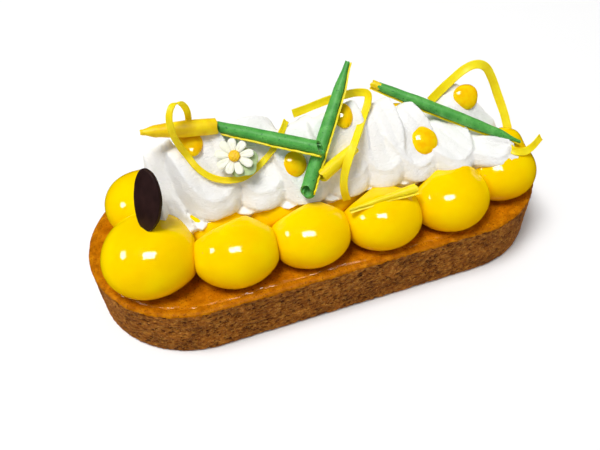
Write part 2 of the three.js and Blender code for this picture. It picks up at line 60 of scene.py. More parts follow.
# Driving dimensions of the case, in millimetres
CASE_LENGTH = 230.6
CASE_WIDTH = 97.5
CASE_HEIGHT = 28.0
RIM_WIDTH = 10.0
GLAZE_TOP = CASE_HEIGHT - 1.0
GLAZE_FLOOR = GLAZE_TOP - 2.4
GAP = 0.3
END_RADIUS = CASE_WIDTH / 2
STRAIGHT = CASE_LENGTH / 2 - END_RADIUS
DOME_FLOOR = GLAZE_TOP + GAP
CREAM_BASE = 42.5

# Sockets of a Mix node for colours: its factor, its two colours and its result
FACTOR, FIRST, SECOND, RESULT = 0, 6, 7, 2

Point = tuple[float, float, float]
Waves = tuple[tuple[float, float, float], ...]


def uneven(i: float, j: float) -> float:
    """Returns a repeatable unevenness between -1 and 1 from two numbers."""
    wave = math.sin(i * 12.9898 + j * 78.233) * 43758.5453
    return 2 * (wave - math.floor(wave)) - 1


def ease(t: float) -> float:
    """Returns a smooth step from 0 to 1."""
    s = min(max(t, 0.0), 1.0)
    return s * s * (3 - 2 * s)


def mix(a: float, b: float, share: float) -> float:
    """Returns the value at a share of the way from a to b."""
    return a + (b - a) * share


def rough(point: Vector, size: float, seed: float = 0.0) -> float:
    """Returns smooth noise between about -1 and 1.

    Args:
        point: Place in millimetres.
        size: Width of one bump in millimetres.
        seed: Shifts the pattern.
    """
    return noise.noise(point / size + Vector((seed, -seed, 2 * seed)))


def ripple(point: Vector, waves: Waves) -> float:
    """Returns the sum of several smooth noises.

    Args:
        point: Place in millimetres.
        waves: Height, width and seed of each noise.
    """
    return sum(height * rough(point, width, seed) for height, width, seed in waves)


def inset_of(point: Vector) -> float:
    """Returns how far a place lies in from the outer edge of the case."""
    spine = min(max(point.x, -STRAIGHT), STRAIGHT)
    return END_RADIUS - math.hypot(point.x - spine, point.y)


def linear(colour: str) -> tuple[float, float, float, float]:
    """Turns an sRGB hex colour into linear RGBA."""
    values = [int(colour[i : i + 2], 16) / 255 for i in (1, 3, 5)]
    curve = [v / 12.92 if v <= 0.04045 else ((v + 0.055) / 1.055) ** 2.4 for v in values]
    return (*curve, 1.0)


def add_node(
    tree: bpy.types.NodeTree, kind: str, inputs: dict[str | int, object], **settings: object
) -> bpy.types.Node:
    """Adds a node with its settings, values and links.

    Args:
        tree: The node tree.
        kind: The node's type name.
        inputs: Socket name or number to a value, or to the socket that it is linked from.
        settings: Properties of the node.

    Returns:
        The new node.
    """
    node = tree.nodes.new(kind)
    for name, value in settings.items():
        setattr(node, name, value)
    for name, value in inputs.items():
        if isinstance(value, bpy.types.NodeSocket):
            tree.links.new(value, node.inputs[name])
        else:
            node.inputs[name].default_value = value
    return node


def to_mesh(bm: bmesh.types.BMesh, name: str) -> bpy.types.Mesh:
    """Turns a bmesh into a named mesh, frees it and returns the mesh."""
    mesh = bpy.data.meshes.new(name)
    bm.to_mesh(mesh)
    bm.free()
    return mesh


def add_object(name: str, data: bpy.types.ID) -> bpy.types.Object:
    """Adds an object to the scene and returns it."""
    thing = bpy.data.objects.new(name, data)
    bpy.context.scene.collection.objects.link(thing)
    return thing


@dataclass(frozen=True)
class Finish:
    """A food surface: a mottled colour, a fine grain in relief, a gloss and some depth of light.

    Attributes:
        name: Common name of the material and how its surface was made.
        colours: sRGB hex colours from the darkest to the lightest patch.
        mottle: Width of a patch of colour, in millimetres.
        grain: Width of one grain of the relief, in millimetres.
        depth: Height of that relief, in millimetres.
        stretch: How much flatter than wide a grain is.
        roughness: Roughness of the surface.
        ior: Index of refraction.
        depth_of_light: Weight of the light scattered below the surface.
        scatter: How far red, green and blue travel below the surface, in millimetres.
        painted_low_shade: Colour of painted shade in the lowest places, weighted by the mesh's own relief
            attribute, or None.
        specks: Colour, width in millimetres and share from 0 to 1 of each kind of speck.
    """

    name: str
    colours: tuple[str, ...]
    mottle: float
    grain: float
    depth: float
    roughness: float
    stretch: float = 1.0
    ior: float = 1.45
    depth_of_light: float = 0.0
    scatter: tuple[float, float, float] = (1.0, 0.6, 0.3)
    painted_low_shade: str | None = None
    specks: tuple[tuple[str, float, float], ...] = ()

    # Noise at which the darkest and the lightest patch are reached
    PATCHES = (0.32, 0.68)
    # Noise at which a speck starts and is full at a share of 0, and their fall at a share of 1
    SPECK_STARTS, SPECK_FULL, SPECK_FALL = 0.74, 0.78, 0.24

    def build(self) -> bpy.types.Material:
        """Makes the node material and returns it."""
        material = bpy.data.materials.new(self.name)
        material.use_nodes = True
        tree = material.node_tree
        tree.nodes.clear()
        place = add_node(tree, "ShaderNodeTexCoord", {}).outputs["Object"]
        patches = add_node(
            tree, "ShaderNodeTexNoise", {"Vector": place, "Scale": 1 / (self.mottle * MM), "Detail": 5.0}
        )
        ramp = add_node(tree, "ShaderNodeValToRGB", {"Fac": patches.outputs["Fac"]})
        stops = ramp.color_ramp.elements
        for i, tint in enumerate(self.colours):
            where = mix(*self.PATCHES, i / (len(self.colours) - 1))
            stop = stops[i] if i < len(stops) else stops.new(where)
            stop.position = where
            stop.color = linear(tint)
        colour = ramp.outputs["Color"]
        # Painted shade: the lowest places, weighted by the mesh's relief attribute, take a darker colour
        if self.painted_low_shade:
            low = add_node(tree, "ShaderNodeAttribute", {}, attribute_name="relief").outputs["Fac"]
            tints = {FACTOR: low, FIRST: linear(self.painted_low_shade), SECOND: colour}
            colour = add_node(tree, "ShaderNodeMix", tints, data_type="RGBA").outputs[RESULT]
        shape = add_node(tree, "ShaderNodeMapping", {"Vector": place, "Scale": (1, 1, self.stretch)})
        shape = shape.outputs["Vector"]
        for tint, width, share in self.specks:
            dots = add_node(
                tree, "ShaderNodeTexNoise", {"Vector": shape, "Scale": 1 / (width * MM), "Detail": 2.0}
            )
            fall = self.SPECK_FALL * share
            span = {"From Min": self.SPECK_STARTS - fall, "From Max": self.SPECK_FULL - fall}
            spot = add_node(tree, "ShaderNodeMapRange", {"Value": dots.outputs["Fac"], **span})
            tints = {FACTOR: spot.outputs["Result"], FIRST: colour, SECOND: linear(tint)}
            colour = add_node(tree, "ShaderNodeMix", tints, data_type="RGBA").outputs[RESULT]
        grain = add_node(
            tree, "ShaderNodeTexNoise", {"Vector": shape, "Scale": 1 / (self.grain * MM), "Detail": 3.0}
        )
        raised = {"Height": grain.outputs["Fac"], "Distance": self.depth * MM, "Strength": 1.0}
        bump = add_node(tree, "ShaderNodeBump", raised)
        shader = add_node(
            tree,
            "ShaderNodeBsdfPrincipled",
            {
                "Base Color": colour,
                "Roughness": self.roughness,
                "IOR": self.ior,
                "Normal": bump.outputs["Normal"],
                "Subsurface Weight": self.depth_of_light,
                "Subsurface Radius": self.scatter,
                "Subsurface Scale": MM,
            },
        )
        add_node(tree, "ShaderNodeOutputMaterial", {"Surface": shader.outputs["BSDF"]})
        return material


class Finishes(Enum):
    """The finishes of the slice, each named for what it is made of and how."""

    # Baked shortcrust, cut and dry: a brown crumb with flat dark pores between pale grains, and painted
    # shade darkening its low places
    CRUST_SIDE = Finish(
        name="baked_shortcrust_side", colours=("#945313", "#af671a", "#cb8730"), mottle=2.0, grain=0.9,
        depth=0.55, stretch=2.8, roughness=0.8, ior=1.2, painted_low_shade="#4d260a",
        specks=(("#e3a658", 0.7, 0.42), ("#351804", 1.6, 0.5)),
    )
    # Baked shortcrust brushed with glaze: orange brown, wet, with fine bumps that glint
    CRUST_TOP = Finish(
        name="glazed_shortcrust_top", colours=("#a05a02", "#b66a04", "#ca7f08"), mottle=3.0, grain=0.9,
        depth=0.3, roughness=0.24, ior=1.1, specks=(("#7c4203", 0.8, 0.52),),
    )
    # Poured apricot glaze: amber, wet and nearly smooth over the baked crumb
    GLAZE = Finish(
        name="poured_amber_glaze", colours=("#a95f02", "#bd6e04", "#d08208"), mottle=5.0, grain=1.1,
        depth=0.3, roughness=0.07, ior=1.36, specks=(("#864703", 0.8, 0.5),),
    )
    # Lemon cream under a mirror glaze: a warm yellow with a hard wet gloss, and painted shade of deeper
    # orange towards the foot
    LEMON = Finish(
        name="glazed_lemon_cream", colours=("#fdcd00", "#ffd300", "#ffda00"), mottle=14.0, grain=4.0,
        depth=0.09, roughness=0.06, ior=1.42, depth_of_light=0.1, scatter=(1.5, 1.5, 0.05), painted_low_shade="#e59200",
    )
    # Piped whipped cream: dull warm white with fine drag marks from the nozzle
    CREAM = Finish(
        name="piped_whipped_cream", colours=("#f7f6f2", "#fcfbf9"), mottle=10.0, grain=1.3, depth=0.4,
        stretch=2.6, roughness=0.6, ior=1.35, depth_of_light=0.12, scatter=(1.0, 1.0, 0.9),
    )
    # Set lemon gel: translucent amber with a wet gloss
    GEL = Finish(
        name="set_lemon_gel", colours=("#fdbf06", "#ffcf0a", "#ffdb14"), mottle=4.0, grain=3.0,
        depth=0.05, roughness=0.06, ior=1.42,
    )
    # Tinted white chocolate, spread thin and rolled: dull green with small air marks
    GREEN = Finish(
        name="rolled_green_chocolate", colours=("#469b40", "#54a949", "#65b757"), mottle=4.0, grain=0.8,
        depth=0.16, roughness=0.42, ior=1.33, specks=(("#1f6a30", 0.8, 0.38),),
    )
    # Tinted white chocolate in yellow, rolled or cut in strips
    YELLOW = Finish(
        name="rolled_yellow_chocolate", colours=("#f8d605", "#fde00f", "#ffe824"), mottle=6.0, grain=1.2,
        depth=0.05, roughness=0.4, ior=1.33, depth_of_light=0.4, scatter=(2.0, 1.8, 0.2),
    )
    # The same chocolate handled longer: mustard yellow with greener bruises
    MUSTARD = Finish(
        name="bruised_yellow_chocolate", colours=("#ecc000", "#f9d402", "#ffe20a"), mottle=5.0,
        grain=1.5, depth=0.12, roughness=0.42, ior=1.33,
    )
    # Dark chocolate, set on a smooth sheet: satin brown black
    DARK = Finish(
        name="set_dark_chocolate", colours=("#241312", "#2c1817", "#341d1b"), mottle=5.0, grain=0.8,
        depth=0.03, roughness=0.45, ior=1.28,
    )
    # Moulded sugar paste: dull warm white
    PETAL = Finish(
        name="moulded_sugar_petal", colours=("#eeeed6", "#fafaec"), mottle=2.5, grain=0.8, depth=0.04,
        roughness=0.55, depth_of_light=0.2, scatter=(0.8, 0.8, 0.5),
    )
    # Moulded sugar paste in pale green
    SEPAL = Finish(
        name="moulded_sugar_sepal", colours=("#a3bd7c", "#bed09a"), mottle=2.0, grain=0.8, depth=0.05,
        roughness=0.5, depth_of_light=0.15, scatter=(0.6, 0.8, 0.4),
    )
    # Moulded sugar paste in deep yellow, dotted
    EYE = Finish(
        name="moulded_sugar_eye", colours=("#f4b800", "#fdd40a"), mottle=1.0, grain=0.6, depth=0.12,
        roughness=0.45,
    )


@cache
def material_of(finish: Finishes) -> bpy.types.Material:
    """Returns the material of a finish, made once."""
    return finish.value.build()


def publish(
    name: str,
    bm: bmesh.types.BMesh,
    finishes: Sequence[Finishes],
    node: str,
    modifiers: Sequence[tuple[str, dict]] = (),
) -> bpy.types.Object:
    """Turns a mesh in millimetres into a piece of the slice and hides the model's node that it replaces.

    Args:
        name: Name of the piece.
        bm: The mesh, freed afterwards.
        finishes: Its finishes, in the order of its material numbers.
        node: The model's node that it replaces.
        modifiers: Type and settings of each modifier that finishes it.

    Returns:
        The new object.
    """
    bmesh.ops.scale(bm, vec=(MM, MM, MM), verts=bm.verts)
    mesh = to_mesh(bm, name)
    mesh.shade_smooth()
    piece = add_object(name, mesh)
    for finish in finishes:
        mesh.materials.append(material_of(finish))
    for kind, settings in modifiers:
        modifier = piece.modifiers.new(kind.lower(), kind)
        for key, value in settings.items():
            setattr(modifier, key, value)
    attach(piece, BODY)
    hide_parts(node)
    return piece


def sheet(thickness: float, offset: float, edge: float, segments: int) -> list[tuple[str, dict]]:
    """Returns the modifiers that make a surface a thin sheet with soft edges.

    Args:
        thickness: Its thickness in millimetres.
        offset: -1 where the thickness goes inwards, 0 where it goes both ways.
        edge: Width of a rounded edge in millimetres.
        segments: Steps of that edge.
    """
    return [
        ("SOLIDIFY", {"thickness": thickness * MM, "offset": offset}),
        ("BEVEL", {"width": edge * MM, "segments": segments, "limit_method": "ANGLE"}),
    ]


@dataclass
class Ball:
    """A unit sphere, kept as a mesh so that copies of it are quick to add."""

    around: int
    up: int

    @cached_property
    def mesh(self) -> bpy.types.Mesh:
        """The sphere's mesh."""
        bm = bmesh.new()
        bmesh.ops.create_uvsphere(bm, u_segments=self.around, v_segments=self.up, radius=1)
        return to_mesh(bm, "unit_ball")

    def add(self, bm: bmesh.types.BMesh) -> list[bmesh.types.BMVert]:
        """Adds a copy of the sphere to a mesh and returns the copy's vertices."""
        before = len(bm.verts)
        bm.from_mesh(self.mesh)
        bm.verts.ensure_lookup_table()
        return bm.verts[before:]


@dataclass(frozen=True)
class Oblong:
    """The plan of the case, a strip with round ends, as closed rings of equal count.

    Attributes:
        around: Number of points around both round ends together.
        straight_cuts: Number of cuts along each straight side.
    """

    around: int = 360
    straight_cuts: int = 150

    def start(self, bm: bmesh.types.BMesh, inset: float, z: float) -> list[bmesh.types.BMVert]:
        """Makes the first ring.

        Args:
            bm: The mesh.
            inset: Distance in from the outer edge.
            z: Height of the ring.

        Returns:
            The ring's vertices.
        """
        made = bmesh.ops.create_circle(bm, segments=self.around, radius=END_RADIUS)
        turn = Matrix.Rotation(math.pi / self.around, 3, "Z")
        bmesh.ops.rotate(bm, verts=made["verts"], cent=(0, 0, 0), matrix=turn)
        for vert in made["verts"]:
            vert.co.x += math.copysign(STRAIGHT, vert.co.x)
        sides = [e for e in bm.edges if e.calc_length() > STRAIGHT]
        bmesh.ops.subdivide_edges(bm, edges=sides, cuts=self.straight_cuts)
        ring = list(bm.verts)
        self.place(ring, inset, z)
        return ring

    @staticmethod
    def place(ring: Sequence[bmesh.types.BMVert], inset: float, z: float) -> None:
        """Moves a ring.

        Args:
            ring: The ring's vertices.
            inset: Its new distance in from the outer edge.
            z: Its new height.
        """
        for vert in ring:
            spine = Vector((min(max(vert.co.x, -STRAIGHT), STRAIGHT), 0, 0))
            out = Vector((vert.co.x, vert.co.y, 0)) - spine
            vert.co = spine + out.normalized() * (END_RADIUS - inset)
            vert.co.z = z

    def extend(
        self, bm: bmesh.types.BMesh, ring: Sequence[bmesh.types.BMVert], inset: float, z: float
    ) -> list[bmesh.types.BMVert]:
        """Extrudes an open ring.

        Args:
            bm: The mesh.
            ring: The ring's vertices.
            inset: Distance of the new ring in from the outer edge.
            z: Height of the new ring.

        Returns:
            The new ring's vertices.
        """
        known = set(ring)
        # A dictionary keeps the edges in order and each of them once
        edges = dict.fromkeys(e for v in ring for e in v.link_edges if e.other_vert(v) in known)
        made = bmesh.ops.extrude_edge_only(bm, edges=list(edges))["geom"]
        fresh = [g for g in made if isinstance(g, bmesh.types.BMVert)]
        self.place(fresh, inset, z)
        return fresh

    def close(self, bm: bmesh.types.BMesh, ring: Sequence[bmesh.types.BMVert], z: float) -> None:
        """Shrinks a last ring onto the spine and merges it there."""
        last = self.extend(bm, ring, END_RADIUS - 0.01, z)
        bmesh.ops.remove_doubles(bm, verts=last, dist=0.1)

    def loft(self, bm: bmesh.types.BMesh, profile: Sequence[tuple[float, float]]) -> None:
        """Makes a closed body from the insets and heights of its rings.

        Args:
            bm: The mesh.
            profile: Inset and height of each ring, from the underside to the top.
        """
        ring = self.start(bm, *profile[0])
        first = ring
        for inset, z in profile[1:]:
            ring = self.extend(bm, ring, inset, z)
        self.close(bm, ring, profile[-1][1])
        self.close(bm, first, profile[0][1])
        bmesh.ops.recalc_face_normals(bm, faces=bm.faces)


@dataclass
class PastryCase:
    """The shortcrust case: porous dry side, a glazed rounded rim and a shallow bed.

    Attributes:
        plan: Its outline.
        row: Height of one row of faces on its side.
        foot: Where its side starts.
        play: How far its side stays back from the outline, for the crumb.
        lip: Width of the rim's rounded outer edge.
        brow: Height of that edge.
        hollow: Fall of the rim from that edge to the bed.
        shoulder: Width of the rim's rounded inner edge.
        pore: Distance between pores.
        pore_radius: Radius of a pore, as a share of that distance.
        pore_edge: Width of a pore's soft edge, as a share of that distance.
        pit: Depth of a pore.
        pitted: How full of pores its dry side is, from 0 to 1.
        bare: Waves of that, which leave some patches bare.
        flat: How much flatter than wide the crumb is.
        lumps: Waves of its dry side.
        crumb: Finer and flat waves of its dry side.
        brushed: Waves of its glazed top.
        wet: Depth below the top at which the relief turns to that of the glazed top.
        wet_over: Height over which it turns.
        wet_line: Waves of that depth.
        glazed: Depth below the top to which the glaze's colour reaches.
        glaze_line: Waves of that depth.
        clean: Weight of the crumb's own colour, against the painted shade, at the mean surface.
        painted_low_shade: How fast that weight falls with depth, per millimetre, painting shade into the
            crumb's hollows.
    """

    plan: Oblong = field(default_factory=Oblong)
    row: float = 0.55
    foot: float = 0.9
    play: float = 0.1
    lip: float = 2.2
    brow: float = 1.3
    hollow: float = 0.5
    shoulder: float = 1.2
    pore: float = 2.6
    pore_radius: float = 0.4
    pore_edge: float = 0.16
    pit: float = 0.75
    pitted: float = 0.6
    bare: Waves = ((2.0, 5.0, 11),)
    flat: float = 1.9
    lumps: Waves = ((0.2, 9.0, 0),)
    crumb: Waves = ((0.08, 3.4, 3), (0.3, 1.7, 5), (0.16, 0.9, 8))
    brushed: Waves = ((0.16, 6.0, 2), (0.09, 1.7, 4))
    wet: float = 1.6
    wet_over: float = 0.8
    wet_line: Waves = ((0.7, 5.0, 7),)
    glazed: float = 1.5
    glaze_line: Waves = ((0.8, 5.0, 7), (0.5, 1.2, 9))
    clean: float = 0.85
    painted_low_shade: float = 1.5

    def profile(self) -> list[tuple[float, float]]:
        """Returns the insets and heights from the underside, up the wall and over the rim."""
        points = [(6.0, 0.0), (3.0, 0.0), (1.4, 0.0), (0.6, 0.25)]
        top = CASE_HEIGHT - self.brow
        rows = round((top - self.foot) / self.row)
        points += [(self.play, mix(self.foot, top, i / rows)) for i in range(rows + 1)]
        for i in range(1, 7):
            angle = i / 6 * math.pi / 2
            inset = self.play + self.lip * (1 - math.cos(angle))
            points.append((inset, CASE_HEIGHT - self.brow * (1 - math.sin(angle))))
        inner = RIM_WIDTH - self.shoulder
        steps = 16
        for i in range(1, steps + 1):
            points.append((mix(self.lip, inner, i / steps), CASE_HEIGHT - self.hollow * ease(i / steps)))
        for i in range(1, 5):
            angle = i / 4 * math.pi / 2
            drop = (CASE_HEIGHT - self.hollow - GLAZE_FLOOR) * (1 - math.cos(angle))
            points.append((inner + self.shoulder * math.sin(angle), CASE_HEIGHT - self.hollow - drop))
        points.append((RIM_WIDTH + 6, GLAZE_FLOOR))
        return points

    def relief(self, point: Vector, glazed: float) -> float:
        """Returns how far a point of the crust stands out, in millimetres.

        Args:
            point: Place on the smooth case.
            glazed: 1 on the glazed top, 0 on the dry side.
        """
        flat = Vector((point.x, point.y, point.z * self.flat))
        middle = noise.voronoi(flat / self.pore, distance_metric="DISTANCE")[0][0]
        pit = self.pit * ease((self.pore_radius - middle) / self.pore_edge)
        pit *= ease(self.pitted + ripple(point, self.bare))
        dry = ripple(point, self.lumps) + ripple(flat, self.crumb) - pit - self.play
        return mix(dry, ripple(point, self.brushed), glazed)

    def within(self, point: Vector) -> bool:
        """Tells whether a point is inward of the rim's outer edge."""
        return inset_of(point) > self.lip

    def build(self) -> list[bpy.types.Object]:
        """Models the case and returns it."""
        bm = bmesh.new()
        self.plan.loft(bm, self.profile())
        bm.normal_update()
        low = bm.verts.layers.float.new("relief")
        for vert in bm.verts:
            # The underside and the wall of the bed stay plain
            if vert.co.z < 0.2 or (vert.normal.z < 0.5 and self.within(vert.co)):
                vert[low] = 1.0
                continue
            level = CASE_HEIGHT - self.wet + ripple(vert.co, self.wet_line)
            glazed = ease((vert.co.z - level) / self.wet_over)
            height = self.relief(vert.co, glazed)
            # Painted shade: the lower a place of the dry crumb lies, the more of the darker colour it
            # takes
            vert[low] = mix(ease(self.clean + self.painted_low_shade * height), 1.0, glazed)
            vert.co += vert.normal * height
        for face in bm.faces:
            middle = face.calc_center_median()
            level = CASE_HEIGHT - self.glazed + ripple(middle, self.glaze_line)
            bed = middle.z > CASE_HEIGHT / 2 and self.within(middle)
            face.material_index = int(middle.z > level or bed)
        finishes = (Finishes.CRUST_SIDE, Finishes.CRUST_TOP)
        return [publish("pastry_case_crust", bm, finishes, "pastry_case")]


@dataclass(frozen=True)
class Dome:
    """One piped lemon dome.

    Attributes:
        x: Place along the slice.
        y: Place across the slice.
        radius: Its widest radius.
        peak: Rise of a drawn top, with its shift along and across.
    """

    x: float
    y: float
    radius: float
    peak: Point = (0.0, 0.0, 0.0)

    # Height of the middle, height above the middle and radius of the foot, per millimetre of radius
    CENTRE, RISE, FOOT = 0.54, 0.82, 0.72
    # Share of a unit sphere, from its lower pole, that makes the flat sole
    SOLE = 0.16
    # Drawing in towards the foot, power that fills out the top, and width of a peak per radius
    TUCK, FULL, TIP = 0.07, 0.94, 0.4

    @property
    def centre(self) -> Vector:
        """Middle of the dome's round body."""
        return Vector((self.x, self.y, DOME_FLOOR + self.CENTRE * self.radius))

    def push_out(self, verts: Iterable[bmesh.types.BMVert], grow: float) -> None:
        """Moves the vertices that lie inside the grown dome onto its surface."""
        centre = self.centre
        wide = self.radius + grow
        tall = self.RISE * self.radius + grow
        for vert in verts:
            away = vert.co - centre
            if abs(away.x) > wide or abs(away.y) > wide or abs(away.z) > tall:
                continue
            local = Vector((away.x / wide, away.y / wide, away.z / tall))
            if 1e-6 < local.length < 1:
                local.normalize()
                vert.co = centre + Vector((local.x * wide, local.y * wide, local.z * tall))

    def point(self, way: Vector, seed: int) -> Vector:
        """Returns the point of the dome in a direction of a unit sphere.

        Args:
            way: Point of the unit sphere.
            seed: Number that varies its unevenness.
        """
        lowest = -math.asin(self.CENTRE / self.RISE)
        share = math.acos(max(-1.0, min(1.0, -way.z))) / math.pi
        angle = math.atan2(way.y, way.x)
        centre = self.centre
        if share < self.SOLE:
            reach = self.FOOT * math.cos(lowest) * share / self.SOLE
            z = DOME_FLOOR
        else:
            tilt = mix(lowest, math.pi / 2, (share - self.SOLE) / (1 - self.SOLE))
            tuck = 1 - self.TUCK * (min(tilt, 0.0) / lowest) ** 2
            reach = math.cos(tilt) ** self.FULL * tuck
            z = centre.z + self.RISE * self.radius * math.sin(tilt)
        x, y = (reach * self.radius * turn(angle) for turn in (math.cos, math.sin))
        rise, shift_x, shift_y = self.peak
        near = math.hypot(x - shift_x, y - shift_y) / (self.TIP * self.radius)
        lift = rise * math.exp(-(near**4)) if z > centre.z else 0.0
        point = Vector((self.x + x, self.y + y, z + lift))
        wave = 0.35 * rough(point, 16.0, seed) * min(1.0, max(0.0, z - DOME_FLOOR) / 6)
        return point + Vector((x, y, z - centre.z)).normalized() * wave


@dataclass
class LemonDomes:
    """The three rows of domes, soft where they touch.

    Attributes:
        front: The open row.
        middle_x: Places of the middle row along the slice.
        back: The hidden row.
        middle_y: Place of the middle row across the slice.
        middle_radius: Radius of the middle row.
        swell: How much a dome spreads towards a neighbour.
        soft: Roundness of the line where two domes meet.
        gap: Half the gap between two domes.
        lap: How far a middle dome leans over a front one, per millimetre of height.
        lap_from: Height above the glaze at which it starts to.
        lap_within: Distance from the middle of the slice up to which it does.
        plain_at_foot: Weight of the plain colour at the foot, under the painted shade of deeper orange
            there.
        shade_fade_over: Height over which that weight grows to 1, as the painted shade fades.
        ball: The sphere that each is shaped from.
    """

    front: tuple[Dome, ...] = (
        Dome(-87.8, -17.8, 20.6),
        Dome(-49.8, -27.2, 18.4),
        Dome(-15, -28.8, 17.2),
        Dome(20.5, -30.5, 17.2),
        Dome(56, -30.6, 17.7, (2, 8, 9)),
        Dome(89, -20.5, 17.6, (6, 6, 6)),
    )
    middle_x: tuple[float, ...] = (-55, -22.5, 8, 38, 66)
    back: tuple[Dome, ...] = (
        Dome(-84.5, 19.5, 18),
        Dome(-48.5, 27.5, 17.2),
        Dome(-14, 28.5, 16.8),
        Dome(20.5, 28, 16.8),
        Dome(54.5, 27, 16.6),
        Dome(86.5, 16, 17),
    )
    middle_y: float = -1.2
    middle_radius: float = 18.8
    swell: float = 1.14
    soft: float = 1.6
    gap: float = 0.06
    lap: float = 0.5
    lap_from: float = 9.0
    lap_within: float = 70.0
    plain_at_foot: float = 0.1
    shade_fade_over: float = 19.0
    ball: Ball = field(default_factory=lambda: Ball(96, 52))

    @cached_property
    def middle(self) -> list[Dome]:
        """The middle row, most of which the cream hides."""
        return [
            Dome(x, self.middle_y + uneven(i, 3), self.middle_radius + 0.4 * uneven(i, 5))
            for i, x in enumerate(self.middle_x)
        ]

    @cached_property
    def all(self) -> list[Dome]:
        """Every dome in the order of its node."""
        return [*self.front, *self.middle, *self.back]

    def lean(self, dome: Dome, other: Dome) -> float:
        """Returns how much a middle dome takes from a front one per millimetre of height.

        Args:
            dome: The dome that is shaped.
            other: Its neighbour.

        Returns:
            A positive number where the dome gives way, a negative one where it leans over.
        """
        if dome not in self.middle and other not in self.middle:
            return 0.0
        if max(abs(dome.x), abs(other.x)) >= self.lap_within:
            return 0.0
        return self.lap * ((dome in self.front) - (other in self.front))

    def settle(self, point: Vector, dome: Dome) -> None:
        """Swells a point of a dome towards each neighbour and flattens it on the plane between.

        Args:
            point: The point, moved in place.
            dome: The dome that it is on.
        """
        for other in self.all:
            dx, dy = other.x - dome.x, other.y - dome.y
            apart = math.hypot(dx, dy)
            if other == dome or apart > dome.radius + other.radius + 2:
                continue
            plane = (apart**2 + dome.radius**2 - other.radius**2) / (2 * apart) - self.gap
            plane -= self.lean(dome, other) * max(0.0, point.z - DOME_FLOOR - self.lap_from)
            reach = ((point.x - dome.x) * dx + (point.y - dome.y) * dy) / apart
            if reach <= 0:
                continue
            over = reach * self.swell - plane
            shift = reach * self.swell - 0.5 * (over + math.sqrt(over * over + self.soft)) - reach
            point.x += shift * dx / apart
            point.y += shift * dy / apart

    def build(self) -> list[bpy.types.Object]:
        """Models every dome and returns them."""
        pieces = []
        for number, dome in enumerate(self.all, 1):
            bm = bmesh.new()
            for vert in self.ball.add(bm):
                point = dome.point(vert.co, number)
                self.settle(point, dome)
                vert.co = point
            low = bm.verts.layers.float.new("relief")
            for vert in bm.verts:
                # Painted shade: each dome turns a deeper orange towards its foot
                vert[low] = mix(self.plain_at_foot, 1.0, ease((vert.co.z - DOME_FLOOR + 1) / self.shade_fade_over))
            name = f"lemon_dome_{number:02d}"
            pieces.append(publish(f"{name}_glazed", bm, [Finishes.LEMON], name))
        return pieces


@dataclass
class GlazeBed:
    """The poured glaze, thin where it laps over the rim and drawn up a little at the domes.

    Attributes:
        domes: The domes that stand in it.
        plan: Its outline.
        edge: Inset of its outer edge, hidden in the crust.
        shore: Mean inset of the line where it comes out of the crust.
        fine_step: Distance between its first rings, over the rim.
        step: Distance between the rest.
        climb: Height to which it is drawn up at a dome.
        climb_over: Distance from the dome over which that fades.
        film: Its thickness on the rim.
        sunk: Depth of its outer edge in the crust.
        bank: Distance over which it comes out of the crust.
        bead_in: Distance from the shore to the middle of the thicker bead behind it.
        bead_wide: Width of the bead.
        beads: Waves of the bead, which is there where they rise.
        tongues: Waves of its shore.
        ripples: Waves of its surface.
    """

    domes: LemonDomes
    plan: Oblong = field(default_factory=Oblong)
    edge: float = 2.7
    shore: float = 3.0
    fine_step: float = 0.35
    step: float = 0.9
    climb: float = 0.5
    climb_over: float = 1.5
    film: float = 0.22
    sunk: float = 0.3
    bank: float = 2.2
    bead_in: float = 1.2
    bead_wide: float = 1.1
    beads: Waves = ((0.5, 2.6, 12),)
    tongues: Waves = ((1.3, 9.0, 6), (0.9, 3.0, 7))
    ripples: Waves = ((0.1, 4.0, 8), (0.07, 1.5, 9))

    def level(self, point: Vector) -> float:
        """Returns the height of the glaze's surface at a place."""
        inset = inset_of(point)
        past_shore = inset - self.shore - ripple(point, self.tongues)
        # A little lower towards the inside of the rim, then down to the bed
        rim = CASE_HEIGHT - 0.12 * ease((inset - 4) / 5)
        base = mix(rim, GLAZE_TOP, ease((inset - 5) / 8))
        nearest = min(
            math.hypot(point.x - dome.x, point.y - dome.y) - dome.radius * dome.FOOT
            for dome in self.domes.all
        )
        base += self.climb * math.exp(-max(0.0, nearest) / self.climb_over)
        off_bead = (past_shore - self.bead_in) / self.bead_wide
        bead = max(0.0, ripple(point, self.beads)) * math.exp(-(off_bead**2))
        cover = (self.sunk + self.film) * ease(past_shore / self.bank)
        return base - self.sunk + cover + bead + ripple(point, self.ripples)

    def build(self) -> list[bpy.types.Object]:
        """Models the glaze and returns it."""
        floor = GLAZE_FLOOR + GAP
        inner = RIM_WIDTH + 0.5
        fine = 11
        start = self.edge + self.fine_step * fine
        rings = round((END_RADIUS - self.edge - 6) / self.step)
        profile = [(inner + 4, floor), (inner, floor), (inner, CASE_HEIGHT - 0.8)]
        profile += [(self.edge, CASE_HEIGHT - 0.35)]
        profile += [(self.edge + self.fine_step * i, CASE_HEIGHT) for i in range(1, fine + 1)]
        profile += [(start + self.step * i, CASE_HEIGHT) for i in range(1, rings)]
        bm = bmesh.new()
        self.plan.loft(bm, profile)
        for vert in bm.verts:
            if vert.co.z > CASE_HEIGHT - 0.01:
                vert.co.z = self.level(vert.co)
        return [publish("glaze_sheet_poured", bm, [Finishes.GLAZE], "glaze_sheet")]


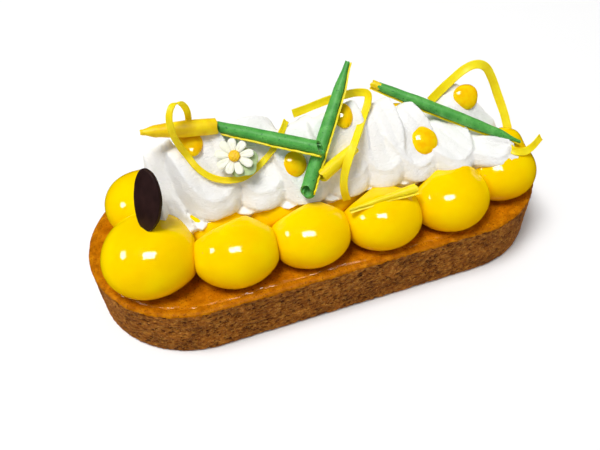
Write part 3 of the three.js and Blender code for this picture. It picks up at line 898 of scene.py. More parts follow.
@dataclass(frozen=True)
class Fold:
    """One fold of piped cream, a tongue with a dished top and a crest near its right side.

    Attributes:
        x: Place of its front tip along the slice.
        y: Place of its front tip across the slice.
        slant: Turn of its length to the left, in degrees.
        length: From its front to its back.
        width: From side to side.
        lip: Height of the top at the front.
        crest: Height of its summit.
        ridge: Where its crest runs, from -1 at its left side to 1 at its right.
        torn: Unevenness of its outline.
        hump: How much of its back is a smooth round hump.
        summit: Where its summit lies, as a share of its length.
    """

    x: float
    y: float
    slant: float
    length: float
    width: float
    lip: float
    crest: float
    ridge: float = 0.8
    torn: float = 0.0
    hump: float = 0.3
    summit: float = 0.58

    # Height of the back, height of the thin edge and least thickness
    BACK, EDGE, LEAST = 52.0, 1.3, 6.0
    # Fall of the top beside the crest, and depth of the dish between them
    FALL, DISH = 4.5, 2.6
    # Share of the rise to the summit that is even, and how much faster the top falls to the right
    EVEN, STEEPER = 0.4, 1.5
    # Fall of a round hump at its middle and further to its sides, where it starts and its extent
    HUMP_FALL, HUMP_ROUND, HUMP_FROM, HUMP_OVER = 3, 6, 0.3, 0.4
    # Height of the crease under the front left, and of the side's stations from there to the edge
    CREASE, SIDE = 3.4, (0.34, 0.76)
    # How far the foot leans to the left, up to which height, and the power that squares the outline
    LEAN, LEAN_OVER, SQUARE = 3.5, 13, 0.86
    # Place from the crest to the left side, and depth, of the grooves that the nozzle leaves
    GROOVES, GROOVE_WIDTH = ((0.2, 0.9), (0.42, 0.6), (0.7, 0.5)), 0.05
    # Share of the outline at each of the eleven stations from the underside to the top
    SHARES = (0.0, 0.74, 0.89, 0.89, 1.04, 0.98, 0.89, 0.84, 0.5, 0.2, 0.0)

    def top(self, u: float, v: float) -> float:
        """Returns the height of the top.

        Args:
            u: Place across the fold, positive to the right.
            v: Place along the fold, from its front to its back.
        """
        way = v / self.length
        climb = min(way / self.summit, 1.0)
        descent = max(0.0, way - self.summit) / (1 - self.summit)
        swing = self.EVEN * climb + (1 - self.EVEN) * (1 - math.cos(math.pi * climb)) / 2
        spine = self.lip + (self.crest - self.lip) * swing
        drop = max(0.0, self.crest - self.BACK) * (1 - math.cos(math.pi / 2 * descent))
        half = self.width / 2
        ridge = self.ridge * half
        left = max(0.0, ridge - u) / (ridge + half)
        right = max(0.0, u - ridge) / (half - ridge)
        dish = self.DISH * math.sin(math.pi * min(left, 1.0))
        grooves = sum(
            depth * math.exp(-(((left - at) / self.GROOVE_WIDTH) ** 2)) for at, depth in self.GROOVES
        )
        sharp = self.FALL * (left + self.STEEPER * right) + dish + grooves
        smooth = self.HUMP_FALL + self.HUMP_ROUND * (u / half) ** 2
        hump = self.hump * ease((way - self.HUMP_FROM) / self.HUMP_OVER)
        return spine - drop - mix(sharp, smooth, hump)

    def height(self, station: int, u: float, v: float, angle: float) -> float:
        """Returns the height of the skin at a station.

        Args:
            station: One of the eleven stations from the underside to the top.
            u: Place across the fold, positive to the right.
            v: Place along the fold, from its front to its back.
            angle: Direction from the middle of the fold, in radians.
        """
        if station < 2:
            return CREAM_BASE
        surface = self.top(u, v)
        least = CREAM_BASE + self.LEAST
        top = max(least, surface)
        crease = CREAM_BASE + 1 + self.CREASE * max(0.0, math.cos(angle + 3 * math.pi / 4))
        rim = max(least, surface - self.EDGE)
        side = (mix(crease, rim, part) for part in self.SIDE)
        stations = ((CREAM_BASE + crease) / 2, crease, *side, rim, top - 0.2, top, top, top)
        return stations[station - 2]

    def share_at(self, station: int, part: float) -> float:
        """Returns the share of the outline on a smooth curve through the stations.

        Args:
            station: The station below.
            part: Part of the way from it to the next.
        """
        values = self.SHARES
        a, b = values[station], values[station + 1]
        slope_a = (b - values[max(station - 1, 0)]) / 2
        slope_b = (values[min(station + 2, len(values) - 1)] - a) / 2
        p2, p3 = part * part, part**3
        ends = (2 * p3 - 3 * p2 + 1) * a + (p3 - 2 * p2 + part) * slope_a + (3 * p2 - 2 * p3) * b
        return ends + (p3 - p2) * slope_b

    def point(self, way: Vector) -> Vector:
        """Returns the point of the fold's skin in a direction of a unit sphere."""
        angle = math.atan2(way.y, way.x)
        along = math.acos(max(-1.0, min(1.0, -way.z))) / math.pi * (len(self.SHARES) - 1)
        station = min(int(along), len(self.SHARES) - 2)
        part = along - station
        half = self.width / 2
        ragged = 1 + self.torn * rough(Vector((way.x * 3, way.y * 3, along)), 1.0, self.x) / half
        share = self.share_at(station, part)
        cosine, sine = math.cos(angle), math.sin(angle)
        u = half * share * ragged * math.copysign(abs(cosine) ** self.SQUARE, cosine)
        v = self.length / 2 * (1 + share * ragged * math.copysign(abs(sine) ** self.SQUARE, sine))
        z = mix(*(self.height(k, u, v, angle) for k in (station, station + 1)), part)
        lean = -self.LEAN * (1 - ease((z - CREAM_BASE) / self.LEAN_OVER))
        cosine, sine = (turn(math.radians(self.slant)) for turn in (math.cos, math.sin))
        x = self.x + (u + lean) * cosine - v * sine
        return Vector((x, self.y + u * sine + v * cosine, z))


@dataclass
class WhippedCream:
    """The run of folded whipped cream that lies over the middle of the slice.

    Attributes:
        domes: The domes that it lies on.
        voxel: Grid on which the folds are joined.
        ball: The sphere that each fold is shaped from.
        folds: The folds.
        under: The lower layer that shows under each middle fold, placed from its front tip.
        waves: Waves of its skin.
        drags: Flat waves that the nozzle leaves.
        drag_flat: How much flatter than wide these are.
        low: Height up to which it may touch a dome.
        clear: Gap that it keeps to a dome.
    """

    domes: LemonDomes
    voxel: float = 0.64
    ball: Ball = field(default_factory=lambda: Ball(112, 90))
    folds: tuple[Fold, ...] = (
        Fold(-47.5, -15.5, 20, 43, 29, 61.5, 81.5),
        Fold(-28, -17.5, 4, 45, 28, 60.5, 81, hump=1.0, summit=0.68),
        Fold(-7.3, -21, 11, 44, 27.5, 59.5, 78),
        Fold(12, -22.8, 9, 45, 27.5, 60, 82, 0.9),
        Fold(29.4, -23.6, 8, 45, 27.5, 60.5, 79.6),
        Fold(48.6, -23.8, 24, 43, 27.5, 59.5, 74.5),
        Fold(69.6, -24.6, 35, 41, 27, 59.5, 66, 0.9),
        Fold(90.4, -25.6, 54, 37, 19, 57.2, 59.5, 0.5),
        Fold(-69, -10, 6, 36, 16, 54, 79, 0.75),
        Fold(-77.6, -13.6, 8, 22, 11, 58, 65, 0.3),
        Fold(-67, -13, 30, 26, 15, 51, 60, 0.3, 1.6),
        Fold(89.7, -11.2, 48, 42, 22, 58, 74.5, 0.2, hump=0.0),
        Fold(92.0, -25.2, 62, 28, 10, 56.6, 59, 0.5, 0.8),
        Fold(-63.2, -17.6, 22, 12, 7, 50.5, 53, 0, 1.2),
        Fold(-58.6, -18.4, 8, 10, 5, 49, 51, 0, 0.9),
    )
    under: Fold = Fold(-6.4, 1.2, 0, 30, 21, 52.4, 55, 0.0, hump=1.0)
    waves: Waves = ((0.16, 6.0, 1),)
    drags: Waves = ((0.1, 2.2, 2),)
    drag_flat: float = 2.6
    low: float = 58.0
    clear: float = 0.1

    def join(self) -> bpy.types.Mesh:
        """Models every fold as a skin and joins them into one even mesh, in metres."""
        shift = self.under
        under = [
            replace(shift, x=fold.x + shift.x, y=fold.y + shift.y, slant=fold.slant)
            for fold in self.folds[1:7]
        ]
        bm = bmesh.new()
        for fold in (*self.folds, *under):
            for vert in self.ball.add(bm):
                vert.co = fold.point(vert.co)
        bmesh.ops.scale(bm, vec=(MM, MM, MM), verts=bm.verts)
        loose = add_object("cream_folds", to_mesh(bm, "cream_folds"))
        modifier = loose.modifiers.new("join", "REMESH")
        modifier.mode = "VOXEL"
        modifier.voxel_size = self.voxel * MM
        joined = bpy.data.meshes.new_from_object(
            loose.evaluated_get(bpy.context.evaluated_depsgraph_get())
        )
        # Removing the mesh removes its object too
        bpy.data.meshes.remove(loose.data)
        return joined

    @cached_property
    def skin(self) -> bmesh.types.BMesh:
        """The joined cream in millimetres, with its drag marks, clear of the domes."""
        mesh = self.join()
        bm = bmesh.new()
        bm.from_mesh(mesh)
        bpy.data.meshes.remove(mesh)
        bmesh.ops.scale(bm, vec=(1 / MM, 1 / MM, 1 / MM), verts=bm.verts)
        bmesh.ops.smooth_vert(
            bm, verts=bm.verts, factor=0.5, use_axis_x=True, use_axis_y=True, use_axis_z=True
        )
        bm.normal_update()
        for vert in bm.verts:
            drag = Vector((vert.co.x, vert.co.y, vert.co.z * self.drag_flat))
            vert.co += vert.normal * (ripple(vert.co, self.waves) + ripple(drag, self.drags))
        low = [vert for vert in bm.verts if vert.co.z < self.low]
        for dome in self.domes.all:
            dome.push_out(low, self.clear)
        return bm

    def build(self) -> list[bpy.types.Object]:
        """Makes the cream a piece and returns it."""
        cream = [Finishes.CREAM]
        return [publish("whipped_cream_piped", self.skin, cream, "whipped_cream")]


@dataclass(frozen=True)
class Drop:
    """A gel drop: place on the plan, half width, half length and how pointed its front is."""

    x: float
    y: float
    wide: float
    long: float
    tapered: float


@dataclass
class GelDrops:
    """Soft drops of gel half sunk in the cream, each facing the way the cream slopes.

    Attributes:
        surface: Tree that finds places on the cream, in millimetres.
        drops: The drops.
        rise: Half the thickness of a drop.
        sunk: Depth of its middle in the cream.
        span: Distance to each side over which the slope is taken.
    """

    surface: BVHTree
    drops: tuple[Drop, ...] = (
        Drop(-57, 6.8, 5.2, 6.8, 1.6),
        Drop(-14.5, -8.8, 5.4, 5.8, 0.4),
        Drop(12, 0.8, 4.6, 6, 1.2),
        Drop(48.2, -12.4, 6.2, 6.6, -0.6),
        Drop(76.8, 1.4, 6.0, 6, 1.8),
    )
    rise: float = 2.5
    sunk: float = 0.7
    span: float = 3.0

    def ground(self, x: float, y: float) -> float:
        """Returns the height of the cream at a place."""
        hit = self.surface.ray_cast(Vector((x, y, 200)), Vector((0, 0, -1)))[0]
        return hit.z if hit else CREAM_BASE

    def build(self) -> list[bpy.types.Object]:
        """Models the drops and returns them."""
        pieces = []
        span = self.span
        for number, drop in enumerate(self.drops, 1):
            slope_x = self.ground(drop.x + span, drop.y) - self.ground(drop.x - span, drop.y)
            slope_y = self.ground(drop.x, drop.y + span) - self.ground(drop.x, drop.y - span)
            facing = Vector((-slope_x, -slope_y, 2 * span)).normalized()
            turn = Vector((0, 0, 1)).rotation_difference(facing).to_matrix()
            centre = Vector((drop.x, drop.y, self.ground(drop.x, drop.y) - self.sunk))
            bm = bmesh.new()
            bmesh.ops.create_uvsphere(bm, u_segments=48, v_segments=24, radius=1)
            for vert in bm.verts:
                ragged = 1.06 + 0.06 * rough(vert.co, 0.8, number) + 0.12 * vert.co.y * drop.tapered
                size = Vector((drop.wide * ragged, drop.long * 1.04, self.rise))
                vert.co = centre + turn @ (vert.co * size)
            name = f"gel_drop_{number}"
            pieces.append(publish(f"{name}_set", bm, [Finishes.GEL], name))
        return pieces


class Lining(Enum):
    """Which chocolate a roll shows outside and inside, and the name of a slot that the roll leaves unused.
    """

    GREEN = (Finishes.GREEN, Finishes.YELLOW, "green_chocolate")
    YELLOW = (Finishes.YELLOW, Finishes.YELLOW, "yellow_chocolate")
    MUSTARD = (Finishes.MUSTARD, Finishes.YELLOW, "yellow_chocolate")


@dataclass(frozen=True)
class Roll:
    """A thin sheet of chocolate rolled up on itself.

    Attributes:
        node: Name of the node.
        lining: Its chocolates.
        start: Middle of its first end.
        end: Middle of its other end.
        radii: Radius at even steps from end to end.
        seam: Direction round the roll in which its outer edge ends, in radians.
        ragged: Unevenness of its two ends, in millimetres.
        cut: How far each end is cut back on its upper side, per millimetre of radius.
        shown: Length of its first end that shows the inner chocolate, in millimetres.
    """

    node: str
    lining: Lining
    start: Point
    end: Point
    radii: tuple[float, ...]
    seam: float
    ragged: tuple[float, float] = (0.5, 0.5)
    cut: tuple[float, float] = (0.0, 0.0)
    shown: float = 0.0

    # Times that the sheet goes round, its thickness, the slit between two layers and its soft edge
    TURNS, SHEET, SLIT, EDGE = 1.5, 0.8, 0.25, 0.12
    # Faces along and around the sheet, and its least radius
    ALONG, AROUND, LEAST = 96, 84, 0.25
    # Inner chocolate at the outer edge, as a share of the sheet: its width and how much that varies
    STRIP, STRIP_WAVE = 0.026, 0.03
    # One part in how many of the sheet is a free outer edge, and how far that lifts and turns
    FREE, LIFT, TURN = 14, 0.15, 0.25
    # Unevenness of the radius and, in radians, of the seam
    DENT, WANDER = 0.12, 0.08

    def radius_at(self, share: float) -> float:
        """Returns the radius at a share of the length, on a smooth line through the radii."""
        place = share * (len(self.radii) - 1)
        k = min(int(place), len(self.radii) - 2)
        return mix(self.radii[k], self.radii[k + 1], ease(place - k))

    def stray(self, x: float, y: float = 0.0, z: float = 0.0) -> float:
        """Returns an unevenness of this roll between about -1 and 1 from up to three numbers."""
        return rough(Vector((x, y, z)), 1.0, self.seam)

    def line(self, bm: bmesh.types.BMesh, length: float) -> None:
        """Gives the faces at the outer edge and at a shown end the inner chocolate.

        Args:
            bm: The flat sheet, from -1 to 1 along X and, from its outer edge, along Y.
            length: Length of the roll.
        """
        for face in bm.faces:
            place = face.calc_center_median()
            strip = self.STRIP + self.STRIP_WAVE * self.stray(place.x * 4)
            torn = self.shown + 1.2 * self.stray(0, place.y * 5)
            first = self.shown > 0 and (place.x + 1) / 2 * length < torn
            face.material_index = int(first or (place.y + 1) / 2 < strip)

    def build(self) -> bpy.types.Object:
        """Models the roll and returns it."""
        start, axis = Vector(self.start), Vector(self.end) - Vector(self.start)
        along = axis.normalized()
        side = Vector((0, 0, 1)).cross(along).normalized()
        above = along.cross(side)
        pitch = (self.SHEET + self.SLIT) / (2 * math.pi)
        bm = bmesh.new()
        bmesh.ops.create_grid(bm, x_segments=self.ALONG, y_segments=self.AROUND, size=1)
        self.line(bm, axis.length)
        for vert in bm.verts:
            share, wrap = (vert.co.x + 1) / 2, (vert.co.y + 1) / 2
            turn = 2 * math.pi * self.TURNS * wrap
            torn = mix(*self.ragged, share) * rough(Vector((wrap * 9, self.seam, share * 2)), 1.0)
            reach = share * axis.length
            free = ease(1 - wrap * self.FREE)
            radius = self.radius_at(share) + self.SHEET / 2 - pitch * turn
            radius += self.DENT * self.stray(reach / 7, turn / 3)
            radius += free * self.LIFT * self.stray(reach / 8, 0, 7)
            angle = self.seam + turn + self.WANDER * self.stray(reach / 9, 0, 3)
            angle -= free * self.TURN * self.stray(reach / 2.5, 0, 9)
            out = side * math.cos(angle) + above * math.sin(angle)
            back = math.copysign(self.cut[round(share)], 0.5 - share) * radius * (1 + math.sin(angle)) / 2
            reach += (torn + back) * (2 * abs(share - 0.5)) ** 6
            vert.co = start + along * reach + out * max(radius, self.LEAST)
        bmesh.ops.reverse_faces(bm, faces=bm.faces)
        outer, inner, slot = self.lining.value
        wall = sheet(self.SHEET, -1.0, self.EDGE, 2)
        return publish(f"{self.node}_rolled", bm, [outer, inner], self.node, wall)


@dataclass
class ChocolateRolls:
    """The rolled sticks of green and yellow chocolate and the two loose curls."""

    rolls: tuple[Roll, ...] = (
        Roll(
            "yellow_roll", Lining.MUSTARD, (-76.4, 7.4, 86.9), (-44.8, 8.8, 80.1),
            (1.4, 2.9, 3.5, 3.9, 3.9, 3.8), 5.1, (1.6, 1.2),
        ),
        Roll(
            "green_roll_1", Lining.GREEN, (-44, 10.1, 78.9), (-2.5, -14.9, 72.9),
            (2.8, 3.2, 3.3, 3.4, 3.4), 3.6, (0.5, 0.3), (0, 1.2),
        ),
        Roll(
            "green_roll_2", Lining.GREEN, (-14.8, -23.6, 56.2), (19.3, 13, 95.3),
            (3.4, 3.4, 3.3, 2.9, 1.5), 3.1, (0.5, 0.5), (1.5, 0),
        ),
        Roll(
            "green_roll_3", Lining.GREEN, (33.2, 16.1, 78.3), (94.8, -23, 54.5),
            (2.2, 2.6, 3.0, 3.0, 2.9, 2.5, 1.0), 4.1, (1.6, 0.5), (0, 0), 3.6,
        ),
        Roll(
            "yellow_curl_1", Lining.YELLOW, (-6, -19.1, 61.9), (13, -11.8, 67),
            (3.4, 3.2, 2.6), 2.2, (1.5, 0.6),
        ),
        Roll(
            "yellow_curl_2", Lining.YELLOW, (3.2, -32.2, 49.2), (35.4, -32.2, 52),
            (1.0, 1.7, 2.7), 3.4, (0.4, 1.0),
        ),
    )

    def build(self) -> list[bpy.types.Object]:
        """Models the rolls and returns them."""
        return [roll.build() for roll in self.rolls]


@dataclass(frozen=True)
class Ribbon:
    """A flat band of chocolate.

    Attributes:
        node: Name of the node.
        sides: Directions across it, at even steps from end to end.
        path: Places along its middle.
        wide: Its width.
    """

    node: str
    sides: tuple[Point, ...]
    path: tuple[Point, ...]
    wide: float = 3.6

    # Thickness, width of a soft edge, rise of its middle between its edges
    THICK, EDGE, BOW = 0.7, 0.22, 0.3
    # Cuts between two places of its path, and faces across
    CUTS, ACROSS = 10, 6

    def centres(self) -> list[Vector]:
        """Returns points close together along a smooth line through the route."""
        points = [Vector(p) for p in self.path]
        padded = [2 * points[0] - points[1], *points, 2 * points[-1] - points[-2]]
        line: list[Vector] = []
        for a, b, c, d in zip(padded, padded[1:], padded[2:], padded[3:]):
            line += interpolate_bezier(b, b + (c - a) / 6, c - (d - b) / 6, c, self.CUTS + 1)[:-1]
        return [*line, points[-1]]

    def build(self) -> bpy.types.Object:
        """Models the ribbon and returns it."""
        line = self.centres()
        last = len(line) - 1
        turns = [Vector(side) for side in self.sides]
        bm = bmesh.new()
        bmesh.ops.create_grid(bm, x_segments=last, y_segments=self.ACROSS, size=1)
        for vert in bm.verts:
            k = round((vert.co.x + 1) / 2 * last)
            part = k / last * (len(turns) - 1)
            step = min(int(part), len(turns) - 2)
            side = turns[step].lerp(turns[step + 1], ease(part - step))
            ahead = (line[min(k + 1, last)] - line[max(k - 1, 0)]).normalized()
            across = (side - ahead * side.dot(ahead)).normalized()
            width = self.wide / 2 * (1 + 0.07 * rough(line[k], 9.0, 5))
            bow = self.BOW * (1 - vert.co.y**2)
            vert.co = line[k] + across * (vert.co.y * width) + across.cross(ahead) * bow
        band = sheet(self.THICK, 0.0, self.EDGE, 3)
        return publish(f"{self.node}_cut", bm, [Finishes.YELLOW], self.node, band)


@dataclass
class ChocolateRibbons:
    """The four yellow ribbons that arch and lie over the cream."""

    ribbons: tuple[Ribbon, ...] = (
        Ribbon(
            "ribbon_1",
            ((1, 0.3, 0.1), (1, -0.35, 0.2), (0.75, 0.5, 0.5), (0.5, 0.5, 0.7), (0.2, 0.9, 0.5)),
            (
                (-56.7, 14, 75.5), (-55.4, 13.2, 84), (-55.5, 12.2, 90.3), (-57.8, 9, 96.3),
                (-61.5, 6, 97.8), (-64, 3, 94), (-64, 1.2, 87), (-62.2, 1.2, 80), (-60.3, 0.8, 75.4),
                (-57.6, -3.4, 71), (-54.1, -6.2, 67.5), (-49.7, -8, 64.9), (-44.4, -9.1, 63.5),
                (-38.6, -8.9, 62.9), (-32.5, -6.9, 64.2), (-27, -4.5, 66.6), (-21.8, -3, 71),
                (-16.6, 2.2, 73.9), (-12.4, 8, 75.2),
            ),
            2.9,
        ),
        Ribbon(
            "ribbon_2",
            ((0.1, 0.5, 0.86), (0.1, 0.4, 0.9), (0.9, -0.3, 0.3), (0.95, -0.2, 0.1)),
            (
                (-8.5, 10.2, 76.4), (-2, 10.7, 77), (4.8, 11.1, 78), (11.2, 11.5, 78.6),
                (16.9, 10.7, 79.6), (22.4, 9.1, 80.7), (26.2, 6.2, 81), (25.4, 3.1, 78.6),
                (21, -1.9, 74), (12.5, -13.9, 73), (6.8, -19.6, 66.9), (4.1, -22.2, 59.8),
                (3.7, -23.9, 53.6), (5.1, -24.1, 47.7),
            ),
        ),
        Ribbon(
            "ribbon_3",
            ((-0.47, 0.57, 0.38), (0, 0.75, 0.66), (0.9, 0.1, 0.4), (0.95, -0.05, 0.2)),
            (
                (61.5, 8.5, 66.2), (65, 8.4, 69.9), (70, 7.7, 75.4), (75.6, 6.6, 81.2),
                (82.3, 7, 82.7), (88, 6.6, 80.4), (91.9, 5, 74.2), (94.6, 1, 66.1),
                (95.9, -5.5, 58.9), (96.2, -10.6, 53),
            ),
            4.2,
        ),
        Ribbon(
            "ribbon_4",
            ((0.1, 0.75, 0.65), (-0.1, 0.7, 0.7), (-0.35, 0.5, 0.8)),
            (
                (88.9, -22.2, 52.8), (91.1, -25.5, 52), (95.8, -26.6, 51.1), (101.2, -25.2, 51.6),
                (108.1, -21.4, 52.6),
            ),
        ),
    )

    def build(self) -> list[bpy.types.Object]:
        """Models the ribbons and returns them."""
        return [ribbon.build() for ribbon in self.ribbons]


@dataclass(frozen=True)
class Stand:
    """A local frame: a middle, a direction for its X axis and one for its Z axis."""

    at: Point
    across: Point
    facing: Point

    def matrix(self, raise_by: float = 0.0, shift: tuple[float, float] = (0.0, 0.0)) -> Matrix:
        """Returns the matrix from the local frame.

        Args:
            raise_by: Distance by which the frame is raised along its Z axis.
            shift: Distances by which it is shifted along its X and Y axes.
        """
        z = Vector(self.facing).normalized()
        x = Vector(self.across)
        x = (x - z * x.dot(z)).normalized()
        y = z.cross(x)
        at = Vector(self.at) + z * raise_by + x * shift[0] + y * shift[1]
        return Matrix.Translation(at) @ Matrix((x, y, z)).transposed().to_4x4()


@dataclass
class Plaque:
    """The bare oval plaque of dark chocolate, slightly bowed.

    Attributes:
        stand: Its place.
        height: Its longer side.
        width: Its shorter side.
        thick: Its thickness.
        edge: Radius of its soft edge.
        bow: How strongly it is bowed across its width.
        steps: Widths of the rings of faces in from its edge.
        outline: Waves of its outline, as shares of its size.
        dents: Waves of its two faces.
    """

    stand: Stand = Stand((-81.6, -11.6, 66.5), (0.6, -0.78, 0.195), (-0.766, -0.482, 0.433))
    height: float = 27.3
    width: float = 16.0
    thick: float = 2.0
    edge: float = 0.4
    bow: float = 0.05
    steps: tuple[float, ...] = (1.2, 1.6, 1.6)
    outline: Waves = ((0.03, 0.45, 4),)
    dents: Waves = ((0.06, 6.0, 3),)

    def build(self) -> list[bpy.types.Object]:
        """Models the plaque and returns it."""
        bm = bmesh.new()
        disc = bmesh.ops.create_circle(bm, cap_ends=True, segments=128, radius=1)
        half = Vector((self.width / 2, self.height / 2, 0))
        for vert in disc["verts"]:
            vert.co = vert.co * half * (1 + ripple(vert.co, self.outline))
        for step in self.steps:
            bmesh.ops.inset_region(bm, faces=[f for f in bm.faces if len(f.verts) > 4], thickness=step)
        top = bmesh.ops.extrude_face_region(bm, geom=bm.faces[:])["geom"]
        raised = [g for g in top if isinstance(g, bmesh.types.BMVert)]
        bmesh.ops.translate(bm, verts=raised, vec=(0, 0, self.thick))
        bmesh.ops.translate(bm, verts=bm.verts, vec=(0, 0, -self.thick / 2))
        bmesh.ops.recalc_face_normals(bm, faces=bm.faces)
        sharp = [e for e in bm.edges if len(e.link_faces) == 2 and e.calc_face_angle() > 1]
        bmesh.ops.bevel(
            bm, geom=sharp, offset=self.edge, segments=4, profile=0.5, affect="EDGES", material=-1,
            clamp_overlap=True,
        )
        for vert in bm.verts:
            vert.co.z -= self.bow * vert.co.x**2 / 4 - ripple(vert.co, self.dents)
        bmesh.ops.transform(bm, matrix=self.stand.matrix(), verts=bm.verts)
        return [publish("plaque_bare", bm, [Finishes.DARK], "plaque")]


@dataclass
class Daisy:
    """The sugar daisy: a sepal, a ring of petals and a dotted eye.

    Attributes:
        stand: Place of the sepal, above which the rest is raised.
        radius: Reach of a petal from the middle.
        petals: Number of petals.
        petal_wide: Width of a petal.
        petal_thick: Half its thickness.
        level: Height of the petals.
        eye_radius: Radius of the eye.
        eye_rise: Height of the eye.
        eye_level: Height of the eye's widest place.
        sepal_radius: Mean radius of the sepal.
        sepal_shift: How far the sepal peeps out, along and across.
    """

    stand: Stand = Stand((-40.3, -3.2, 70.9), (1, -0.1, 0.1), (-0.12, -0.6, 0.79))
    radius: float = 8.3
    petals: int = 9
    petal_wide: float = 4.3
    petal_thick: float = 0.6
    level: float = 1.7
    eye_radius: float = 2.6
    eye_rise: float = 1.4
    eye_level: float = 2.6
    sepal_radius: float = 6.8
    sepal_shift: tuple[float, float] = (2.9, -2.9)

    def petal_point(self, number: int, way: Vector) -> Vector:
        """Returns the point of a petal that lies along X.

        Args:
            number: Number of the petal, which varies its length and lift.
            way: Point of the unit sphere that it is shaped from.
        """
        x, y, z = way
        inner = self.eye_radius / 2
        reach = (self.radius - inner) * (1 + 0.07 * uneven(number, 11))
        blunt = max(0.03, 1 - x * x) ** -0.14 if x > 0 else 1.0
        belly = blunt * (0.55 + 0.5 * ease((x + 1) / 2))
        groove = 0.3 * math.exp(-((y / 0.22) ** 2)) * max(0.0, z)
        lift = 0.25 * (1 + uneven(number, 12)) + 0.35 * ((x + 1) / 2) ** 2
        along = inner + reach / 2 * (1 + x)
        return Vector((along, y * belly * self.petal_wide / 2, self.petal_thick * (z - groove) + lift))

    def petal_ring(self) -> bpy.types.Object:
        """Models the petals with their hub and returns them as one piece."""
        bm = bmesh.new()
        for i in range(self.petals):
            made = bmesh.ops.create_uvsphere(bm, u_segments=28, v_segments=16, radius=1)
            turn = Matrix.Rotation(2 * math.pi * (i + 0.16 * uneven(i, 13)) / self.petals, 3, "Z")
            for vert in made["verts"]:
                vert.co = turn @ self.petal_point(i, vert.co)
        hub = bmesh.ops.create_cone(
            bm, cap_ends=True, segments=32, radius1=self.eye_radius, radius2=self.eye_radius, depth=0.8
        )
        rims = list({e for v in hub["verts"] for e in v.link_edges})
        bmesh.ops.bevel(bm, geom=rims, offset=0.1, segments=2, profile=0.5, affect="EDGES", material=-1)
        bmesh.ops.transform(bm, matrix=self.stand.matrix(self.level), verts=bm.verts)
        return publish("daisy_petals_moulded", bm, [Finishes.PETAL], "daisy_petals")

    def eye(self) -> bpy.types.Object:
        """Models the dotted eye and returns it."""
        bm = bmesh.new()
        bmesh.ops.create_uvsphere(bm, u_segments=48, v_segments=32, radius=1)
        for vert in bm.verts:
            above = vert.co.z > 0
            dots = 0.07 * math.cos(vert.co.x * 11) * math.cos(vert.co.y * 11) if above else 0
            size = Vector((self.eye_radius, self.eye_radius, self.eye_rise if above else 0.4))
            vert.co = vert.co * size * (1 + dots)
        bmesh.ops.transform(bm, matrix=self.stand.matrix(self.eye_level), verts=bm.verts)
        return publish("daisy_eye_dotted", bm, [Finishes.EYE], "daisy_eye")

    def sepal(self) -> bpy.types.Object:
        """Models the wavy sepal and returns it."""
        bm = bmesh.new()
        bmesh.ops.create_uvsphere(bm, u_segments=64, v_segments=24, radius=1)
        for vert in bm.verts:
            angle = math.atan2(vert.co.y, vert.co.x)
            share = math.hypot(vert.co.x, vert.co.y)
            reach = self.sepal_radius + 0.5 * math.sin(5 * angle + 0.6)
            lift = 0.45 * share * math.sin(3 * angle)
            vert.co = Vector((vert.co.x * reach, vert.co.y * reach, 0.6 * vert.co.z + lift))
        bmesh.ops.transform(bm, matrix=self.stand.matrix(0, self.sepal_shift), verts=bm.verts)
        return publish("daisy_sepal_moulded", bm, [Finishes.SEPAL], "daisy_sepal")

    def build(self) -> list[bpy.types.Object]:
        """Models the daisy's three layers and returns them."""
        return [self.sepal(), self.petal_ring(), self.eye()]


@dataclass(frozen=True)
class Softbox:
    """A rectangular studio light that looks at the middle of the slice.

    Attributes:
        name: Its name.
        way: Direction in which it stands.
        size: Its width and height, in metres.
        radiance: Its brightness.
        gloss: True for a box that shows as a highlight, False for one that only lights.
        distance: Its distance, in metres.
    """

    name: str
    way: Point
    size: tuple[float, float]
    radiance: float
    gloss: bool
    distance: float = 3.0

    # Direction that the width of each box follows
    WIDTH_ALONG = (0.97, -0.24, 0)

    def build(self) -> None:
        """Places the light."""
        data = bpy.data.lights.new(self.name, "AREA")
        data.shape = "RECTANGLE"
        data.size, data.size_y = self.size
        data.energy = self.radiance * math.pi * self.size[0] * self.size[1]
        light = add_object(self.name, data)
        back = Vector(self.way).normalized()
        place = tuple(back * self.distance)
        light.matrix_world = Stand(place, self.WIDTH_ALONG, self.way).matrix()
        light.visible_glossy = self.gloss
        light.visible_diffuse = not self.gloss


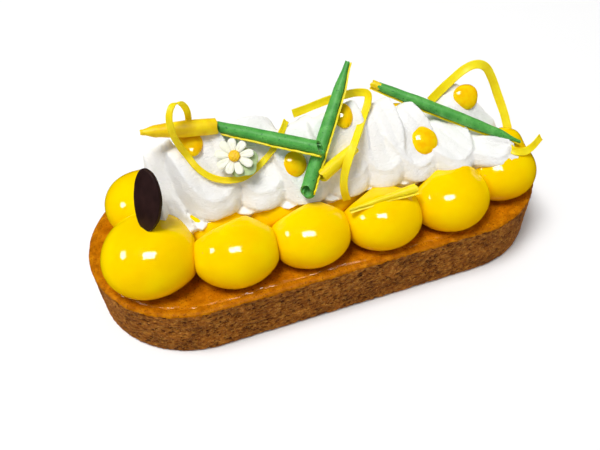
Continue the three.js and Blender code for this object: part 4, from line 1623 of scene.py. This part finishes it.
@dataclass
class Studio:
    """A pale floor, a white surround, an overhead light, two softboxes for the gloss and the camera.

    Attributes:
        boxes: The lights.
        zenith: Brightness of the surround overhead.
        horizon: Its brightness at the horizon.
        camera_at: Place of the camera, in millimetres.
        camera_right: Direction to the right of its picture.
        camera_up: Direction to the top of its picture.
        camera_back: Direction away from what it looks at.
        lens: Focal length of the camera on a sensor 36 mm wide.
        floor_radius: Radius of the floor, in metres.
    """

    boxes: tuple[Softbox, ...] = (
        Softbox("softbox_above", (-0.05, -0.27, 0.95), (1.16, 0.8), 28.0, True),
        Softbox("softbox_left", (-0.7, 0.13, 0.7), (0.56, 0.64), 22.0, True),
        Softbox("overhead_light", (-0.28, -0.03, 0.95), (1.2, 1.2), 17.0, False),
    )
    zenith: float = 0.31
    horizon: float = 0.55
    camera_at: Point = (-75.7448, -213.2505, 248.6659)
    camera_right: Point = (0.9452, -0.3247, -0.0332)
    camera_up: Point = (0.2576, 0.6798, 0.6867)
    camera_back: Point = (-0.2004, -0.6576, 0.7262)
    lens: float = 37.43
    floor_radius: float = 3.0

    def camera(self) -> None:
        """Sets the camera at the photograph's viewing angle."""
        data = bpy.data.cameras.new("camera")
        data.sensor_width = 36
        data.lens = self.lens
        data.clip_start = 0.01
        camera = add_object("camera", data)
        turn = Matrix((self.camera_right, self.camera_up, self.camera_back)).transposed().to_4x4()
        camera.matrix_world = Matrix.Translation(Vector(self.camera_at) * MM) @ turn
        bpy.context.scene.camera = camera

    def surround(self) -> None:
        """Makes the surround, brighter at the horizon; like the floor it lights but leaves no gloss."""
        world = bpy.data.worlds.new("surround")
        bpy.context.scene.world = world
        world.use_nodes = True
        tree = world.node_tree
        tree.nodes.clear()
        way = add_node(tree, "ShaderNodeTexCoord", {}).outputs["Generated"]
        height = add_node(tree, "ShaderNodeSeparateXYZ", {"Vector": way}).outputs["Z"]
        span = {"From Min": 0.0, "From Max": 0.2, "To Min": self.horizon, "To Max": self.zenith}
        fade = add_node(tree, "ShaderNodeMapRange", {"Value": height, **span}).outputs["Result"]
        glow = add_node(tree, "ShaderNodeBackground", {"Color": (1, 1, 1, 1), "Strength": fade})
        add_node(tree, "ShaderNodeOutputWorld", {"Surface": glow.outputs["Background"]})
        world.cycles_visibility.glossy = False

    def floor(self) -> None:
        """Lays the pale floor."""
        bm = bmesh.new()
        bmesh.ops.create_circle(bm, cap_ends=True, segments=128, radius=self.floor_radius)
        floor = add_object("floor", to_mesh(bm, "floor"))
        material = bpy.data.materials.new("pale_floor")
        material.use_nodes = True
        sockets = material.node_tree.nodes["Principled BSDF"].inputs
        sockets["Base Color"].default_value = (0.98, 0.98, 0.98, 1)
        sockets["Roughness"].default_value = 0.7
        sockets["Specular IOR Level"].default_value = 0.2
        floor.data.materials.append(material)
        floor.visible_glossy = False

    def build(self) -> None:
        """Sets up the studio."""
        self.camera()
        self.surround()
        self.floor()
        for box in self.boxes:
            box.build()
        view = bpy.context.scene.view_settings
        view.view_transform = "Standard"
        view.look = "None"


def main() -> None:
    """Builds the slice part by part."""
    logging.basicConfig(level=logging.INFO, format="%(name)s: %(message)s")
    domes = LemonDomes()
    cream = WhippedCream(domes)
    drops = GelDrops(BVHTree.FromBMesh(cream.skin))
    dressing = (ChocolateRolls(), ChocolateRibbons(), Plaque(), Daisy())
    for part in (cream, drops, PastryCase(), GlazeBed(domes), domes, *dressing):
        for piece in part.build():
            LOG.info("%s: %d faces", piece.name, len(piece.data.polygons))
    Studio().build()
    bpy.context.view_layer.update()


if __name__ == "__main__":
    main()
